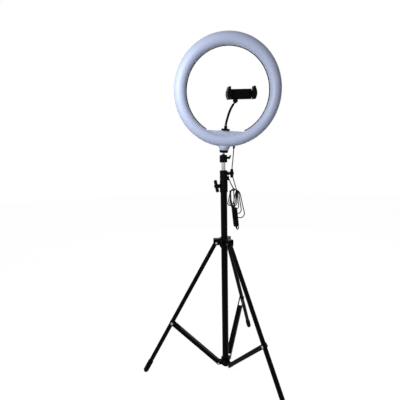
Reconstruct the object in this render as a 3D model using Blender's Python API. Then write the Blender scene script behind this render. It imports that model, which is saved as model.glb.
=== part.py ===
# Ring light on a folding light stand, with a gooseneck phone clamp and a USB lead.
# Sizes are in millimetres and become metres as each mesh is made.
import math

import bmesh
import bpy
from mathutils import Matrix, Vector

MM = 0.001
GAP = 0.3
SMOOTH_ANGLE = math.radians(40)

# Stand: one fixed tube, two telescoping tubes and the two clamp collars
LOWER_TUBE_R = 10.5
MID_TUBE_R = 9.0
TOP_TUBE_R = 6.2
TUBE_WALL = 1.0
LOWER_TUBE_Z0 = 11.0
LOWER_TUBE_Z1 = 624.0
MID_TUBE_Z0 = 60.0
MID_TUBE_Z1 = 660.0
TOP_TUBE_Z0 = 110.0
TOP_TUBE_Z1 = 691.0
LOWER_COLLAR_Z0 = 598.0
COLLAR_SPLIT_Z = 632.5
UPPER_COLLAR_Z1 = 667.0
LOWER_COLLAR_R = 12.6
UPPER_COLLAR_R = 12.0
SHANK_R = 3.0
BOSS_REACH = 18.5
UPPER_BOSS_REACH = 17.5
LOWER_BOSS_ROOT = LOWER_TUBE_R + 0.5
LOWER_BOSS_R = 6.2
UPPER_BOSS_R = 5.6
HUB_BOSS_R = 5.5
EAR_Z0 = 635.0
EAR_Z1 = 648.0
EAR_HALF = 3.0
LOWER_KNOB_Z = 618.0
LOWER_KNOB_TOE = math.radians(20.0)
LOWER_KNOB_SPIN = math.radians(28.0)
UPPER_KNOB_Z = 657.0

# Tripod: the hub slides on the tube, the spreader is fixed at its lower end
LEG_AZIMUTHS = (177.64, 297.64, 57.64)
HUB_Z = 435.8
HUB_PIVOT_R = 27.5
FOOT_R = 273.2
BRACE_AT = 0.611
SPREADER_Z = 19.6
SPREADER_PIVOT_R = 25.9
LEG_TUBE_R = 7.0
LEG_HEAD = 6.0
FOOT_CAP_R = 8.5
FOOT_CAP_HEIGHT = 34.0
FOOT_FLOOR = 2.0
HUB_R = 15.5
HUB_LOW = -12.0
HUB_HIGH = 15.0
ARM_WALL = 2.6
ARM_REACH = 35.0
ARM_LOW = -7.5
ARM_HIGH = 13.0
SLOT_ROOT_R = 17.2
SLOT_ROOF = 10.3
SPREADER_R = 15.0
SPREADER_LOW = -7.5
SPREADER_HIGH = 13.5
LUG_R = 5.8
FORK_INNER = 2 * (LEG_TUBE_R + 0.4)
FORK_WALL = 1.0
BRACE_NOSE = 5.5
BRACE_LOW = 5.0
BRACE_HIGH = 7.5
BRACE_WEB = 1.1
WEB_CUT = 32.0
WEB_START = 9.0
OVERCUT = 20.0
PIN_R = 2.5
PIN_HEAD_R = 3.4
PIN_HEAD = 1.4
LEG_RUN = FOOT_R - HUB_PIVOT_R
LEG_ANGLE = math.atan2(LEG_RUN, HUB_Z)
BRACE_END_R = HUB_PIVOT_R + BRACE_AT * LEG_RUN
BRACE_END_Z = HUB_Z * (1 - BRACE_AT)
BRACE_LENGTH = math.hypot(BRACE_END_R - SPREADER_PIVOT_R, BRACE_END_Z - SPREADER_Z)
BRACE_ANGLE = math.atan2(BRACE_END_Z - SPREADER_Z, BRACE_END_R - SPREADER_PIVOT_R)

# Ball head, and the head's turn, pitch and lean about the centre of the ball
BALL_Z = 709.5
STUD_R = 3.1
BALL_R = 9.0
HOUSING_R = 12.0
HOUSING_TOP_Z = 714.5
STEM_R = 3.5
DISC_Z0 = 722.3
DISC_Z1 = 730.3
DISC_R = 13.3
HEAD_TURN = math.radians(-1.65)
HEAD_PITCH = math.radians(9.8)
HEAD_LEAN = math.radians(3.45)

# Ring head, standing on its neck above the platform disc, its seam plane just ahead of the tube
RING_OUT_R = 160.0
RING_IN_R = 125.0
NECK_RISE = 9.9
RING_Z = DISC_Z1 + NECK_RISE + RING_OUT_R
RING_Y = -2.0
RING_WALL = 2.0
DIFFUSER_DEPTH = 17.0
SHELL_DEPTH = 18.0
CHORD_RISE = 13.3
CHORD_DROP = RING_IN_R - CHORD_RISE
BOARD_Y = 8.0
BOARD_THICK = 1.6
RIM_THICK = 1.3
RIM_DEPTH = 5.6
RING_SEGMENTS = 48
CHIP_SLOTS = 36

# Phone holder, measured from the foot of its gooseneck
HOLDER_X = 1.0
HOLDER_Y = 5.0
HOLDER_Z = RING_Z - CHORD_DROP
GOOSE_R = 3.7
GOOSE_ROUTE = ((0.0, 16.0), (0.6, 24.0), (3.4, 37.7), (6.0, 49.0), (9.3, 59.8), (13.4, 69.5), (18.3, 78.4))
CLAMP_BALL = (23.5, 85.6)
CLAMP_BALL_R = 5.0
CLAMP_ROLL = math.radians(-4.6)
CLAMP_SHIFT = (15.6, 21.2)
CLAMP_HALF_W = 36.0
CLAMP_HALF_H = 14.7
CLAMP_THICK = 9.0
JAW_DEPTH = 24.0
JAW_TOP = 21.0
JAW_WALL = 8.0
LIP_THICK = 4.0
PAD_THICK = 1.5
REST_RAISE = 0.6

# Lead: a 3.2 mm cord, its hank, the inline controller and the plug
CORD_R = 1.6
VIEW_TURN = math.radians(-7.0)
GLAND = (31.4, 6.0)
HANK_TURNS = 6
HANK_MIDDLE = 2.6
HANK_HALF = 9.8
HANK_SIDE = 34.0
HANK_TOP_Z = 606.0
HANK_PITCH = -4.4
HANK_X = 33.0
HANK_Y = 20.0
CONTROLLER = (31.2, -45.0, 526.0)
CONTROLLER_TILT = math.radians(6.0)
CONTROLLER_SIZE = (16.5, 11.0, 58.0)
PLUG = (1.0, 9.6, -16.0)
PLUG_LENGTH = 22.0
TAIL_BEND_R = 6.6
TAIL_WAY = (0.55, 0.835)

for old in list(bpy.data.objects):
    bpy.data.objects.remove(old)


def srgb(value):
    """One sRGB byte pair as a linear colour value."""
    c = value / 255.0
    return c / 12.92 if c <= 0.04045 else ((c + 0.055) / 1.055) ** 2.4


def material(name, colour, roughness, metallic=0.0):
    """A Principled material from a hex colour."""
    mat = bpy.data.materials.new(name)
    mat.use_nodes = True
    shader = mat.node_tree.nodes["Principled BSDF"]
    rgb = [srgb((colour >> shift) & 255) for shift in (16, 8, 0)]
    shader.inputs["Base Color"].default_value = (*rgb, 1.0)
    shader.inputs["Roughness"].default_value = roughness
    shader.inputs["Metallic"].default_value = metallic
    mat.diffuse_color = (*rgb, 1.0)
    return mat


BLACK_PAINT = ("black powder coat", 0x17181C, 0.42, 0.0)
BLACK_PLASTIC = ("black ABS", 0x131417, 0.5, 0.0)
RUBBER = ("black rubber", 0x101113, 0.8, 0.0)
WHITE_SHELL = ("white ABS", 0xD9DEE8, 0.4, 0.0)
MILKY = ("milky diffuser", 0xD8DDF2, 0.35, 0.0)
STEEL = ("bright steel", 0xB9BCC0, 0.28, 1.0)
BOARD = ("white circuit board", 0xE4E6E2, 0.6, 0.0)


def empty(name, at=(0, 0, 0), parent=None, turn=None):
    """A named frame that pieces hang from."""
    frame = bpy.data.objects.new(name, None)
    bpy.context.scene.collection.objects.link(frame)
    frame.parent = parent
    frame.location = Vector(at) * MM
    if turn:
        frame.rotation_euler = turn
    return frame


def add(name, bm, look, parent, at=(0, 0, 0), turn=None):
    """Store a mesh built in millimetres as a named object."""
    bmesh.ops.remove_doubles(bm, verts=bm.verts, dist=1e-5)
    bmesh.ops.recalc_face_normals(bm, faces=bm.faces)
    mesh = bpy.data.meshes.new(name)
    bm.to_mesh(mesh)
    bm.free()
    mesh.transform(Matrix.Scale(MM, 4))
    obj = bpy.data.objects.new(name, mesh)
    bpy.context.scene.collection.objects.link(obj)
    obj.parent = parent
    obj.location = Vector(at) * MM
    if turn:
        obj.rotation_euler = turn
    obj.data.materials.append(material(name + " " + look[0], *look[1:]))
    mesh.shade_smooth()
    mesh.set_sharp_from_angle(angle=SMOOTH_ANGLE)
    return obj


def lathe(profile, segments=24, axis="Z"):
    """Revolve a closed (radius, height) outline into a solid."""
    bm = bmesh.new()
    rings = []
    for radius, height in profile:
        if radius < 1e-6:
            rings.append([bm.verts.new((0, 0, height))])
            continue
        angles = [2 * math.pi * i / segments for i in range(segments)]
        rings.append([bm.verts.new((radius * math.cos(a), radius * math.sin(a), height)) for a in angles])
    for lower, upper in zip(rings, rings[1:] + rings[:1]):
        for i in range(segments):
            j = (i + 1) % segments
            corners = [lower[i % len(lower)], lower[j % len(lower)]]
            corners += [upper[j % len(upper)], upper[i % len(upper)]]
            face = list(dict.fromkeys(corners))
            if len(face) > 2:
                bm.faces.new(face)
    if axis == "Y":
        bm.transform(Matrix.Rotation(math.radians(-90), 4, "X"))
    if axis == "X":
        bm.transform(Matrix.Rotation(math.radians(90), 4, "Y"))
    return bm


def tube_profile(outer, inner, low, high):
    """The outline of a plain round tube."""
    return [(inner, low), (outer, low), (outer, high), (inner, high)]


def rod_profile(radius, low, high, edge=0.0):
    """The outline of a round rod with bevelled ends."""
    if edge <= 0:
        return [(0, low), (radius, low), (radius, high), (0, high)]
    near = [(0, low), (radius - edge, low), (radius, low + edge)]
    return near + [(radius, high - edge), (radius - edge, high), (0, high)]


def block(low, high, edge=0.0):
    """A box between two corners, with its edges rounded by a bevel."""
    bm = bmesh.new()
    bmesh.ops.create_cube(bm, size=1.0)
    size = [h - l for l, h in zip(low, high)]
    middle = [(h + l) / 2 for l, h in zip(low, high)]
    bm.transform(Matrix.Translation(middle) @ Matrix.Diagonal((*size, 1.0)))
    if edge > 0:
        bmesh.ops.bevel(bm, geom=bm.edges[:], offset=edge, segments=1, profile=0.5, affect="EDGES")
    return bm


def prism(outline, low, high, axis="Z"):
    """Push a flat outline into a solid between two heights."""
    bm = bmesh.new()
    bottom = [bm.verts.new((x, y, low)) for x, y in outline]
    top = [bm.verts.new((x, y, high)) for x, y in outline]
    bm.faces.new(bottom[::-1])
    bm.faces.new(top)
    for i in range(len(outline)):
        j = (i + 1) % len(outline)
        bm.faces.new((bottom[i], bottom[j], top[j], top[i]))
    if axis == "Y":
        bm.transform(Matrix.Rotation(math.radians(90), 4, "X"))
    return bm


def tongue(start, end, radius, half):
    """A flat lug that ends in a half circle, lying along X and as thick as 2 half along Y."""
    arc = [math.radians(-90 + 15 * i) for i in range(13)]
    nose = [(end + radius * math.cos(a), radius * math.sin(a)) for a in arc]
    return prism([(start, -radius)] + nose + [(start, radius)], -half, half, "Y")


def sweep(points, radius, sides=10, closed=False):
    """A round rod along a line of points, its frame carried without twist."""
    path = [Vector(p) for p in points]
    count = len(path)
    bm = bmesh.new()
    side = None
    rings = []
    for i, point in enumerate(path):
        ahead = path[(i + 1) % count] if closed or i + 1 < count else point
        behind = path[i - 1] if closed or i > 0 else point
        along = (ahead - behind).normalized()
        if side is None:
            side = along.orthogonal()
        side = (side - along * side.dot(along)).normalized()
        other = along.cross(side)
        angles = [2 * math.pi * k / sides for k in range(sides)]
        rings.append([bm.verts.new(point + (side * math.cos(a) + other * math.sin(a)) * radius)
                      for a in angles])
    pairs = list(zip(rings, rings[1:]))
    if closed:
        last = rings[-1]
        first = rings[0]
        shift = min(range(sides), key=lambda s: (last[0].co - first[s].co).length)
        pairs.append((last, first[shift:] + first[:shift]))
    else:
        bm.faces.new(rings[0])
        bm.faces.new(rings[-1])
    for near, far in pairs:
        for k in range(sides):
            n = (k + 1) % sides
            bm.faces.new((near[k], near[n], far[n], far[k]))
    return bm


def combine(target, tool_bm, operation, at=(0, 0, 0), turn=None):
    """Apply one exact Boolean with a tool mesh given in the target's frame."""
    mesh = bpy.data.meshes.new("tool")
    bmesh.ops.recalc_face_normals(tool_bm, faces=tool_bm.faces)
    tool_bm.to_mesh(mesh)
    tool_bm.free()
    mesh.transform(Matrix.Scale(MM, 4))
    tool = bpy.data.objects.new("tool", mesh)
    bpy.context.scene.collection.objects.link(tool)
    local = Matrix.Translation(Vector(at) * MM)
    if turn:
        local = local @ turn.to_4x4()
    bpy.context.view_layer.update()
    tool.matrix_world = target.matrix_world @ local
    bpy.context.view_layer.update()
    cut = target.modifiers.new(operation.lower(), "BOOLEAN")
    cut.operation = operation
    cut.solver = "EXACT"
    cut.object = tool
    view = bpy.context.evaluated_depsgraph_get()
    result = bpy.data.meshes.new_from_object(target.evaluated_get(view))
    target.modifiers.remove(cut)
    clean = bmesh.new()
    clean.from_mesh(result)
    bmesh.ops.remove_doubles(clean, verts=clean.verts, dist=1e-6)
    bmesh.ops.dissolve_degenerate(clean, edges=clean.edges, dist=1e-6)
    clean.to_mesh(result)
    clean.free()
    target.data = result
    bpy.data.objects.remove(tool)
    result.shade_smooth()
    result.set_sharp_from_angle(angle=SMOOTH_ANGLE)


def about_z(angle):
    """A turn about the vertical."""
    return Matrix.Rotation(angle, 3, "Z")


def seen(x, y, z):
    """A place given as the photo's camera sees it, turned into the part's frame."""
    return about_z(VIEW_TURN) @ Vector((x, y, z))


def smooth_route(points, step):
    """Evenly spaced points on a smooth curve through the route points."""
    knots = [Vector(p) for p in points]
    ends = [2 * knots[0] - knots[1]] + knots + [2 * knots[-1] - knots[-2]]
    dense = []
    for a, b, c, d in zip(ends, ends[1:], ends[2:], ends[3:]):
        for i in range(24):
            t = i / 24
            term = (2 * b) + (c - a) * t + (2 * a - 5 * b + 4 * c - d) * t ** 2
            dense.append((term + (3 * b - a - 3 * c + d) * t ** 3) / 2)
    dense.append(knots[-1])
    lengths = [0.0]
    for a, b in zip(dense, dense[1:]):
        lengths.append(lengths[-1] + (b - a).length)
    count = max(3, round(lengths[-1] / step))
    even = []
    j = 0
    for i in range(count + 1):
        want = lengths[-1] * i / count
        while j < len(dense) - 2 and lengths[j + 1] < want:
            j += 1
        part = (want - lengths[j]) / max(1e-9, lengths[j + 1] - lengths[j])
        even.append(dense[j].lerp(dense[j + 1], part))
    return even


def cord(name, points, parent, resolution=2):
    """One cord stretch: a POLY curve tube with filled ends."""
    curve = bpy.data.curves.new(name, "CURVE")
    curve.dimensions = "3D"
    curve.bevel_depth = CORD_R * MM
    curve.bevel_resolution = resolution
    curve.use_fill_caps = True
    line = curve.splines.new("POLY")
    line.points.add(len(points) - 1)
    for spot, point in zip(line.points, points):
        spot.co = (*(point * MM), 1.0)
    obj = bpy.data.objects.new(name, curve)
    bpy.context.scene.collection.objects.link(obj)
    obj.parent = parent
    curve.materials.append(material(name + " " + RUBBER[0], *RUBBER[1:]))
    return obj


def wing_knob(name, parent, at, azimuth, reach, wing, grip, spin=0.0):
    """A clamp knob: threaded shank, round hub and a wing, turning about its shank."""
    neck = reach * 0.42
    profile = [(0, 0), (SHANK_R, 0), (SHANK_R, neck), (5.6, neck), (5.6, reach - 3), (4.6, reach), (0, reach)]
    knob = add(name, lathe(profile, 14, "X"), BLACK_PLASTIC, parent, at, (0, 0, azimuth))
    bar = block((reach - grip - 1.5, -4.2, -wing / 2), (reach - 1.5, 4.2, wing / 2), 2.0)
    combine(knob, bar, "UNION", turn=Matrix.Rotation(spin, 3, "X"))
    return knob


# Frames: the whole part, the sliding hub, the telescoping tubes and the leaning head
root = empty("ring_light")
hub_frame = empty("hub_frame", (0, 0, HUB_Z), root)
mid_frame = empty("mid_frame", (0, 0, 0), root)
top_frame = empty("top_frame", (0, 0, 0), root)
ball_frame = empty("ball_frame", (0, 0, BALL_Z), root)
head_turn = (about_z(HEAD_TURN) @ Matrix.Rotation(HEAD_PITCH, 3, "X") @ Matrix.Rotation(HEAD_LEAN, 3, "Y"))
head_frame = empty("head_frame", (0, 0, BALL_Z), root, head_turn.to_euler())

# Fixed tube, its end plug and the spreader collar
add("lower_tube", lathe(tube_profile(LOWER_TUBE_R, LOWER_TUBE_R - TUBE_WALL, LOWER_TUBE_Z0, LOWER_TUBE_Z1)),
    BLACK_PAINT, root)
plug_r = LOWER_TUBE_R - TUBE_WALL - GAP
plug_top = LOWER_TUBE_Z0 - GAP
add("column_end_plug", lathe([(0, 7.0), (9.5, 7.0), (LOWER_TUBE_R, 8.0), (LOWER_TUBE_R, plug_top),
                              (plug_r, plug_top), (plug_r, 24.0), (0, 24.0)]), BLACK_PLASTIC, root)

spreader_sleeve = tube_profile(SPREADER_R, 6.0, SPREADER_Z + SPREADER_LOW, SPREADER_Z + SPREADER_HIGH)
spreader = add("spreader_collar", lathe(spreader_sleeve), BLACK_PLASTIC, root)
lug_half = FORK_INNER / 2 - GAP
for azimuth in LEG_AZIMUTHS:
    turn = about_z(math.radians(azimuth))
    combine(spreader, tongue(8.0, SPREADER_PIVOT_R, LUG_R, lug_half), "UNION", (0, 0, SPREADER_Z), turn)
    hole = lathe(rod_profile(PIN_R + GAP, -12, 12), 12, "Y")
    combine(spreader, hole, "DIFFERENCE", turn @ Vector((SPREADER_PIVOT_R, 0, SPREADER_Z)), turn)
combine(spreader, lathe(rod_profile(LOWER_TUBE_R + GAP, -5, 60)), "DIFFERENCE")

# Leg hub: a sleeve on the tube with three forks, closed over the top
hub = add("leg_hub", lathe(tube_profile(HUB_R, 6.0, HUB_LOW, HUB_HIGH)), BLACK_PLASTIC, hub_frame)
for azimuth in LEG_AZIMUTHS:
    turn = about_z(math.radians(azimuth))
    arm_half = FORK_INNER / 2 + ARM_WALL
    arm = block((8.0, -arm_half, ARM_LOW), (ARM_REACH, arm_half, ARM_HIGH), 1.2)
    combine(hub, arm, "UNION", turn=turn)
    slot_end = ARM_REACH + OVERCUT / 2
    slot = block((SLOT_ROOT_R, -FORK_INNER / 2, -OVERCUT), (slot_end, FORK_INNER / 2, SLOT_ROOF))
    combine(hub, slot, "DIFFERENCE", turn=turn)
    hole = lathe(rod_profile(PIN_R + GAP, -14, 14), 12, "Y")
    combine(hub, hole, "DIFFERENCE", turn @ Vector((HUB_PIVOT_R, 0, 0)), turn)
hub_knob_azimuth = math.radians((LEG_AZIMUTHS[0] + LEG_AZIMUTHS[1]) / 2)
hub_boss = lathe(rod_profile(HUB_BOSS_R, 8.0, BOSS_REACH), 14, "X")
combine(hub, hub_boss, "UNION", turn=about_z(hub_knob_azimuth))
shank_hole = lathe(rod_profile(SHANK_R + GAP, 8.0, 30.0), 14, "X")
combine(hub, shank_hole, "DIFFERENCE", turn=about_z(hub_knob_azimuth))
combine(hub, lathe(rod_profile(LOWER_TUBE_R + GAP, -60, 60)), "DIFFERENCE")
knob_seat = about_z(hub_knob_azimuth) @ Vector((LOWER_TUBE_R + GAP, 0, 0))
wing_knob("hub_knob", hub_frame, knob_seat, hub_knob_azimuth, 19.0, 24.0, 7.0)

# Legs, rubber feet, pivot pins and channel braces, one set for each azimuth
fork_outer = FORK_INNER + 2 * FORK_WALL
pin_half = FORK_INNER / 2 + ARM_WALL + GAP
brace_pin_half = fork_outer / 2 + GAP
foot_centre = (HUB_Z - FOOT_CAP_R) / math.cos(LEG_ANGLE)


def pin(name, half, parent, at, azimuth):
    """A pivot pin with a flat head on each end."""
    ends = [(0, -half - PIN_HEAD), (PIN_HEAD_R, -half - PIN_HEAD), (PIN_HEAD_R, -half), (PIN_R, -half)]
    profile = ends + [(r, -h) for r, h in reversed(ends)]
    add(name, lathe(profile, 12, "Y"), STEEL, parent, at, (0, 0, azimuth))


for number, degrees in enumerate(LEG_AZIMUTHS, 1):
    azimuth = math.radians(degrees)
    turn = about_z(azimuth)
    hub_pivot = turn @ Vector((HUB_PIVOT_R, 0, 0))
    leg_frame = empty(f"leg_{number}_frame", hub_pivot, hub_frame, (0, 0, azimuth))
    lean = (0, -LEG_ANGLE, 0)
    leg_low = FOOT_FLOOR - foot_centre
    leg_wall = tube_profile(LEG_TUBE_R, LEG_TUBE_R - TUBE_WALL, leg_low, LEG_HEAD)
    tube = add(f"leg_{number}", lathe(leg_wall, 16), BLACK_PAINT, leg_frame, turn=lean)
    combine(tube, lathe(rod_profile(PIN_R + GAP, -14, 14), 12, "Y"), "DIFFERENCE")
    dome = [(FOOT_CAP_R * math.cos(math.radians(t)), -foot_centre - FOOT_CAP_R * math.sin(math.radians(t)))
            for t in range(0, 91, 30)]
    bore = LEG_TUBE_R + GAP
    cap_high = FOOT_CAP_HEIGHT - foot_centre
    cap = [(bore, cap_high), (FOOT_CAP_R - 0.4, cap_high)] + dome[:-1]
    cap += [(0, dome[-1][1]), (0, leg_low - GAP), (bore, leg_low - GAP)]
    add(f"foot_{number}", lathe(cap, 16), RUBBER, leg_frame, turn=lean)
    pin(f"hub_pin_{number}", pin_half, hub_frame, hub_pivot, azimuth)

    spreader_pivot = turn @ Vector((SPREADER_PIVOT_R, 0, SPREADER_Z))
    brace_frame = empty(f"brace_{number}_frame", spreader_pivot, root, (0, 0, azimuth))
    half = fork_outer / 2
    bar = block((-BRACE_NOSE, -half, -BRACE_LOW), (BRACE_LENGTH + BRACE_NOSE, half, BRACE_HIGH), 0.6)
    brace = add(f"brace_{number}", bar, BLACK_PAINT, brace_frame, turn=(0, -BRACE_ANGLE, 0))
    inner = FORK_INNER / 2
    far = BRACE_LENGTH + OVERCUT
    combine(brace, block((-OVERCUT, -inner, -OVERCUT), (far, inner, BRACE_HIGH - BRACE_WEB)), "DIFFERENCE")
    combine(brace, block((-OVERCUT, -inner, -OVERCUT), (WEB_START, inner, OVERCUT)), "DIFFERENCE")
    combine(brace, block((BRACE_LENGTH - WEB_CUT, -inner, -OVERCUT), (far, inner, OVERCUT)), "DIFFERENCE")
    combine(brace, lathe(rod_profile(PIN_R + GAP, -14, 14), 12, "Y"), "DIFFERENCE")
    combine(brace, lathe(rod_profile(PIN_R, -14, 14), 12, "Y"), "DIFFERENCE", (BRACE_LENGTH, 0, 0))
    pin(f"spreader_pin_{number}", brace_pin_half, root, spreader_pivot, azimuth)

# Telescoping tubes with a plastic guide at each hidden end
mid_bore = MID_TUBE_R - TUBE_WALL
add("mid_tube", lathe(tube_profile(MID_TUBE_R, mid_bore, MID_TUBE_Z0, MID_TUBE_Z1)), BLACK_PAINT, mid_frame)
top_bore = TOP_TUBE_R - TUBE_WALL
add("top_tube", lathe(tube_profile(TOP_TUBE_R, top_bore, TOP_TUBE_Z0, TOP_TUBE_Z1)), STEEL, top_frame)
add("top_guide", lathe(tube_profile(mid_bore - GAP, TOP_TUBE_R + 0.05, TOP_TUBE_Z0, TOP_TUBE_Z0 + 30), 24),
    BLACK_PLASTIC, top_frame)
stud_root_r = top_bore - GAP
add("mount_stud", lathe([(0, 670), (stud_root_r, 670), (stud_root_r, TOP_TUBE_Z1), (STUD_R, TOP_TUBE_Z1),
                         (STUD_R, 697), (STUD_R - 0.5, 698), (0, 698)], 12), STEEL, top_frame)

# Clamp collars: a sleeve on the outer tube, a bore for the inner one, a boss and a screw
lower_knob_azimuth = VIEW_TURN + math.pi + LOWER_KNOB_TOE
upper_knob_azimuth = VIEW_TURN
seat_z = LOWER_TUBE_Z1 + GAP
lower_collar = add("lower_collar", lathe([
    (LOWER_TUBE_R + GAP, LOWER_COLLAR_Z0), (LOWER_COLLAR_R, LOWER_COLLAR_Z0),
    (LOWER_COLLAR_R, COLLAR_SPLIT_Z - GAP), (MID_TUBE_R + GAP, COLLAR_SPLIT_Z - GAP),
    (MID_TUBE_R + GAP, seat_z), (LOWER_TUBE_R + GAP, seat_z)]), BLACK_PLASTIC, root)
knob_turn = about_z(lower_knob_azimuth)
boss_at = Vector((0, 0, LOWER_KNOB_Z))
boss = lathe(rod_profile(LOWER_BOSS_R, LOWER_BOSS_ROOT, BOSS_REACH), 14, "X")
combine(lower_collar, boss, "UNION", boss_at, knob_turn)
combine(lower_collar, lathe(rod_profile(SHANK_R + GAP, 8.0, 30.0), 14, "X"), "DIFFERENCE", boss_at, knob_turn)
seat = knob_turn @ Vector((LOWER_TUBE_R + GAP, 0, 0)) + boss_at
wing_knob("lower_knob", root, seat, lower_knob_azimuth, 20.4, 41.0, 9.5, LOWER_KNOB_SPIN)

upper_collar = add("upper_collar", lathe([
    (MID_TUBE_R + GAP, COLLAR_SPLIT_Z), (UPPER_COLLAR_R, COLLAR_SPLIT_Z),
    (UPPER_COLLAR_R, UPPER_COLLAR_Z1 - 1.5), (UPPER_COLLAR_R - 1.5, UPPER_COLLAR_Z1),
    (TOP_TUBE_R + GAP, UPPER_COLLAR_Z1), (TOP_TUBE_R + GAP, MID_TUBE_Z1 + GAP),
    (MID_TUBE_R + GAP, MID_TUBE_Z1 + GAP)]), BLACK_PLASTIC, mid_frame)
knob_turn = about_z(upper_knob_azimuth)
boss_at = Vector((0, 0, UPPER_KNOB_Z))
boss = lathe(rod_profile(UPPER_BOSS_R, 10.5, UPPER_BOSS_REACH), 14, "X")
combine(upper_collar, boss, "UNION", boss_at, knob_turn)
ear = block((10.5, -EAR_HALF, EAR_Z0), (UPPER_BOSS_REACH, EAR_HALF, EAR_Z1), 1.0)
combine(upper_collar, ear, "UNION", turn=knob_turn)
combine(upper_collar, lathe(rod_profile(SHANK_R + GAP, 8.0, 30.0), 14, "X"), "DIFFERENCE", boss_at, knob_turn)
combine(upper_collar, lathe(rod_profile(MID_TUBE_R + GAP, 600, MID_TUBE_Z1 + GAP)), "DIFFERENCE")
seat = knob_turn @ Vector((MID_TUBE_R + GAP, 0, 0)) + boss_at
wing_knob("upper_knob", mid_frame, seat, upper_knob_azimuth, 22.5, 28.0, 9.0)

# Ball head: housing with a round socket, lock lever, ball with stem, platform disc
socket_r = BALL_R + GAP
base_z = TOP_TUBE_Z1 + GAP - BALL_Z
rim = HOUSING_TOP_Z - BALL_Z
rim_angle = math.asin(rim / socket_r)
socket = []
for step in range(6):
    angle = rim_angle - (rim_angle + math.radians(65)) * step / 5
    socket.append((socket_r * math.cos(angle), socket_r * math.sin(angle)))
stud_r = STUD_R + GAP
socket_floor = socket[-1][1]
housing = add("ball_housing", lathe([(stud_r, base_z), (HOUSING_R - 0.8, base_z), (HOUSING_R, base_z + 0.8),
                                     (HOUSING_R, rim - 1.2), (HOUSING_R - 1.2, rim)] + socket
                                    + [(stud_r, socket_floor)], 28), BLACK_PAINT, ball_frame)
lever_hole = lathe(rod_profile(2.4 + GAP, 7.0, 20.0), 16, "X")
combine(housing, lever_hole, "DIFFERENCE", (0, 0, -4.0), about_z(VIEW_TURN))
lever_seat = about_z(VIEW_TURN) @ Vector((socket_r + GAP, 0, -4.0))
lever = add("ball_lever", lathe([(0, 0), (2.4, 0), (2.4, 3.4), (4.2, 3.4), (4.2, 9.0), (0, 9.0)], 16, "X"),
            BLACK_PLASTIC, ball_frame, lever_seat, (0, 0, VIEW_TURN))
wing = block((4.6, -2.0, -1.0), (9.6, 2.0, 12.0), 1.2)
combine(lever, wing, "UNION", (1.5, 0, 0), Matrix.Rotation(math.radians(24), 3, "Y"))

stem_top = DISC_Z1 - BALL_Z
screw_top = stem_top + NECK_RISE - 2.0
ball_arc = []
for step in range(8):
    angle = math.radians(-90) + (math.radians(90) + math.acos(STEM_R / BALL_R)) * step / 7
    ball_arc.append((BALL_R * math.cos(angle) if step else 0.0, BALL_R * math.sin(angle)))
add("ball_stem", lathe(ball_arc + [(STEM_R, stem_top - 3.0), (3.0, stem_top - 3.0),
                                   (3.0, screw_top), (0, screw_top)], 20), STEEL, head_frame)
disc_low = DISC_Z0 - BALL_Z
add("platform_disc", lathe([(3.0 + GAP, stem_top - 3.0 + GAP), (STEM_R + GAP, stem_top - 3.0 + GAP),
                            (STEM_R + GAP, disc_low), (DISC_R - 0.8, disc_low),
                            (DISC_R, disc_low + 0.8), (DISC_R, stem_top - 0.8), (DISC_R - 0.8, stem_top),
                            (3.0 + GAP, stem_top)], 28), BLACK_PLASTIC, head_frame)

# Ring head: open-fronted back shell with neck and flat platform, board, rim and diffuser
ring_at = (0, RING_Y, RING_Z - BALL_Z)
mid_r = (RING_OUT_R + RING_IN_R) / 2
half_w = (RING_OUT_R - RING_IN_R) / 2


def limb(half_width, depth, steps, sign):
    """Half an oval across the ring's limb, from the outer edge to the inner edge."""
    arc = []
    for step in range(steps + 1):
        angle = math.pi * step / steps
        arc.append((mid_r + half_width * math.cos(angle), sign * depth * math.sin(angle)))
    return arc


outer_back = limb(half_w, SHELL_DEPTH, 6, 1)
inner_back = limb(half_w - RING_WALL, SHELL_DEPTH - RING_WALL, 3, 1)
shell_bm = lathe(outer_back + inner_back[::-1], RING_SEGMENTS, "Y")
shell = add("back_shell", shell_bm, WHITE_SHELL, head_frame, ring_at)
segment_r = RING_IN_R + 0.8
reach = math.acos(CHORD_DROP / segment_r)
arc = [-math.pi / 2 - reach + 2 * reach * i / 16 for i in range(17)]
segment = [(segment_r * math.cos(a), segment_r * math.sin(a)) for a in arc]
combine(shell, prism(segment, -12.0, -1.0, "Y"), "UNION")
neck_low = DISC_Z1 + GAP - RING_Z
neck_wall = neck_low + NECK_RISE + 3.6
combine(shell, lathe([(0, neck_low), (14.0, neck_low), (14.6, neck_low + 1.0), (18.6, neck_low + 11.0),
                      (18.0, neck_wall), (0, neck_wall)], 24), "UNION", (0, -RING_Y, 0))
front_room = limb(half_w + GAP, DIFFUSER_DEPTH + 2 * GAP, 8, -1)
combine(shell, lathe(front_room, RING_SEGMENTS, "Y"), "DIFFERENCE")
bush_hole = lathe(rod_profile(5.0 + GAP, neck_low - 5, neck_low + NECK_RISE + 1.0), 24)
combine(shell, bush_hole, "DIFFERENCE", (0, -RING_Y, 0))
gland_hole = lathe(rod_profile(3.5 + GAP, -RING_OUT_R - OVERCUT, -RING_OUT_R + OVERCUT / 2), 20)
combine(shell, gland_hole, "DIFFERENCE", (GLAND[0], GLAND[1], 0))
screw_x = HOLDER_X
screw_y = HOLDER_Y - RING_Y
screw_hole = lathe(rod_profile(2.8 + GAP, -CHORD_DROP - 9, -CHORD_DROP + 5), 20)
combine(shell, screw_hole, "DIFFERENCE", (screw_x, screw_y, 0))

outer_front = limb(half_w, DIFFUSER_DEPTH, 8, -1)
inner_front = limb(half_w - RING_WALL, DIFFUSER_DEPTH - RING_WALL, 3, -1)
add("diffuser", lathe(outer_front + inner_front[::-1], RING_SEGMENTS, "Y"), MILKY, head_frame,
    (0, RING_Y - GAP, RING_Z - BALL_Z))

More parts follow.
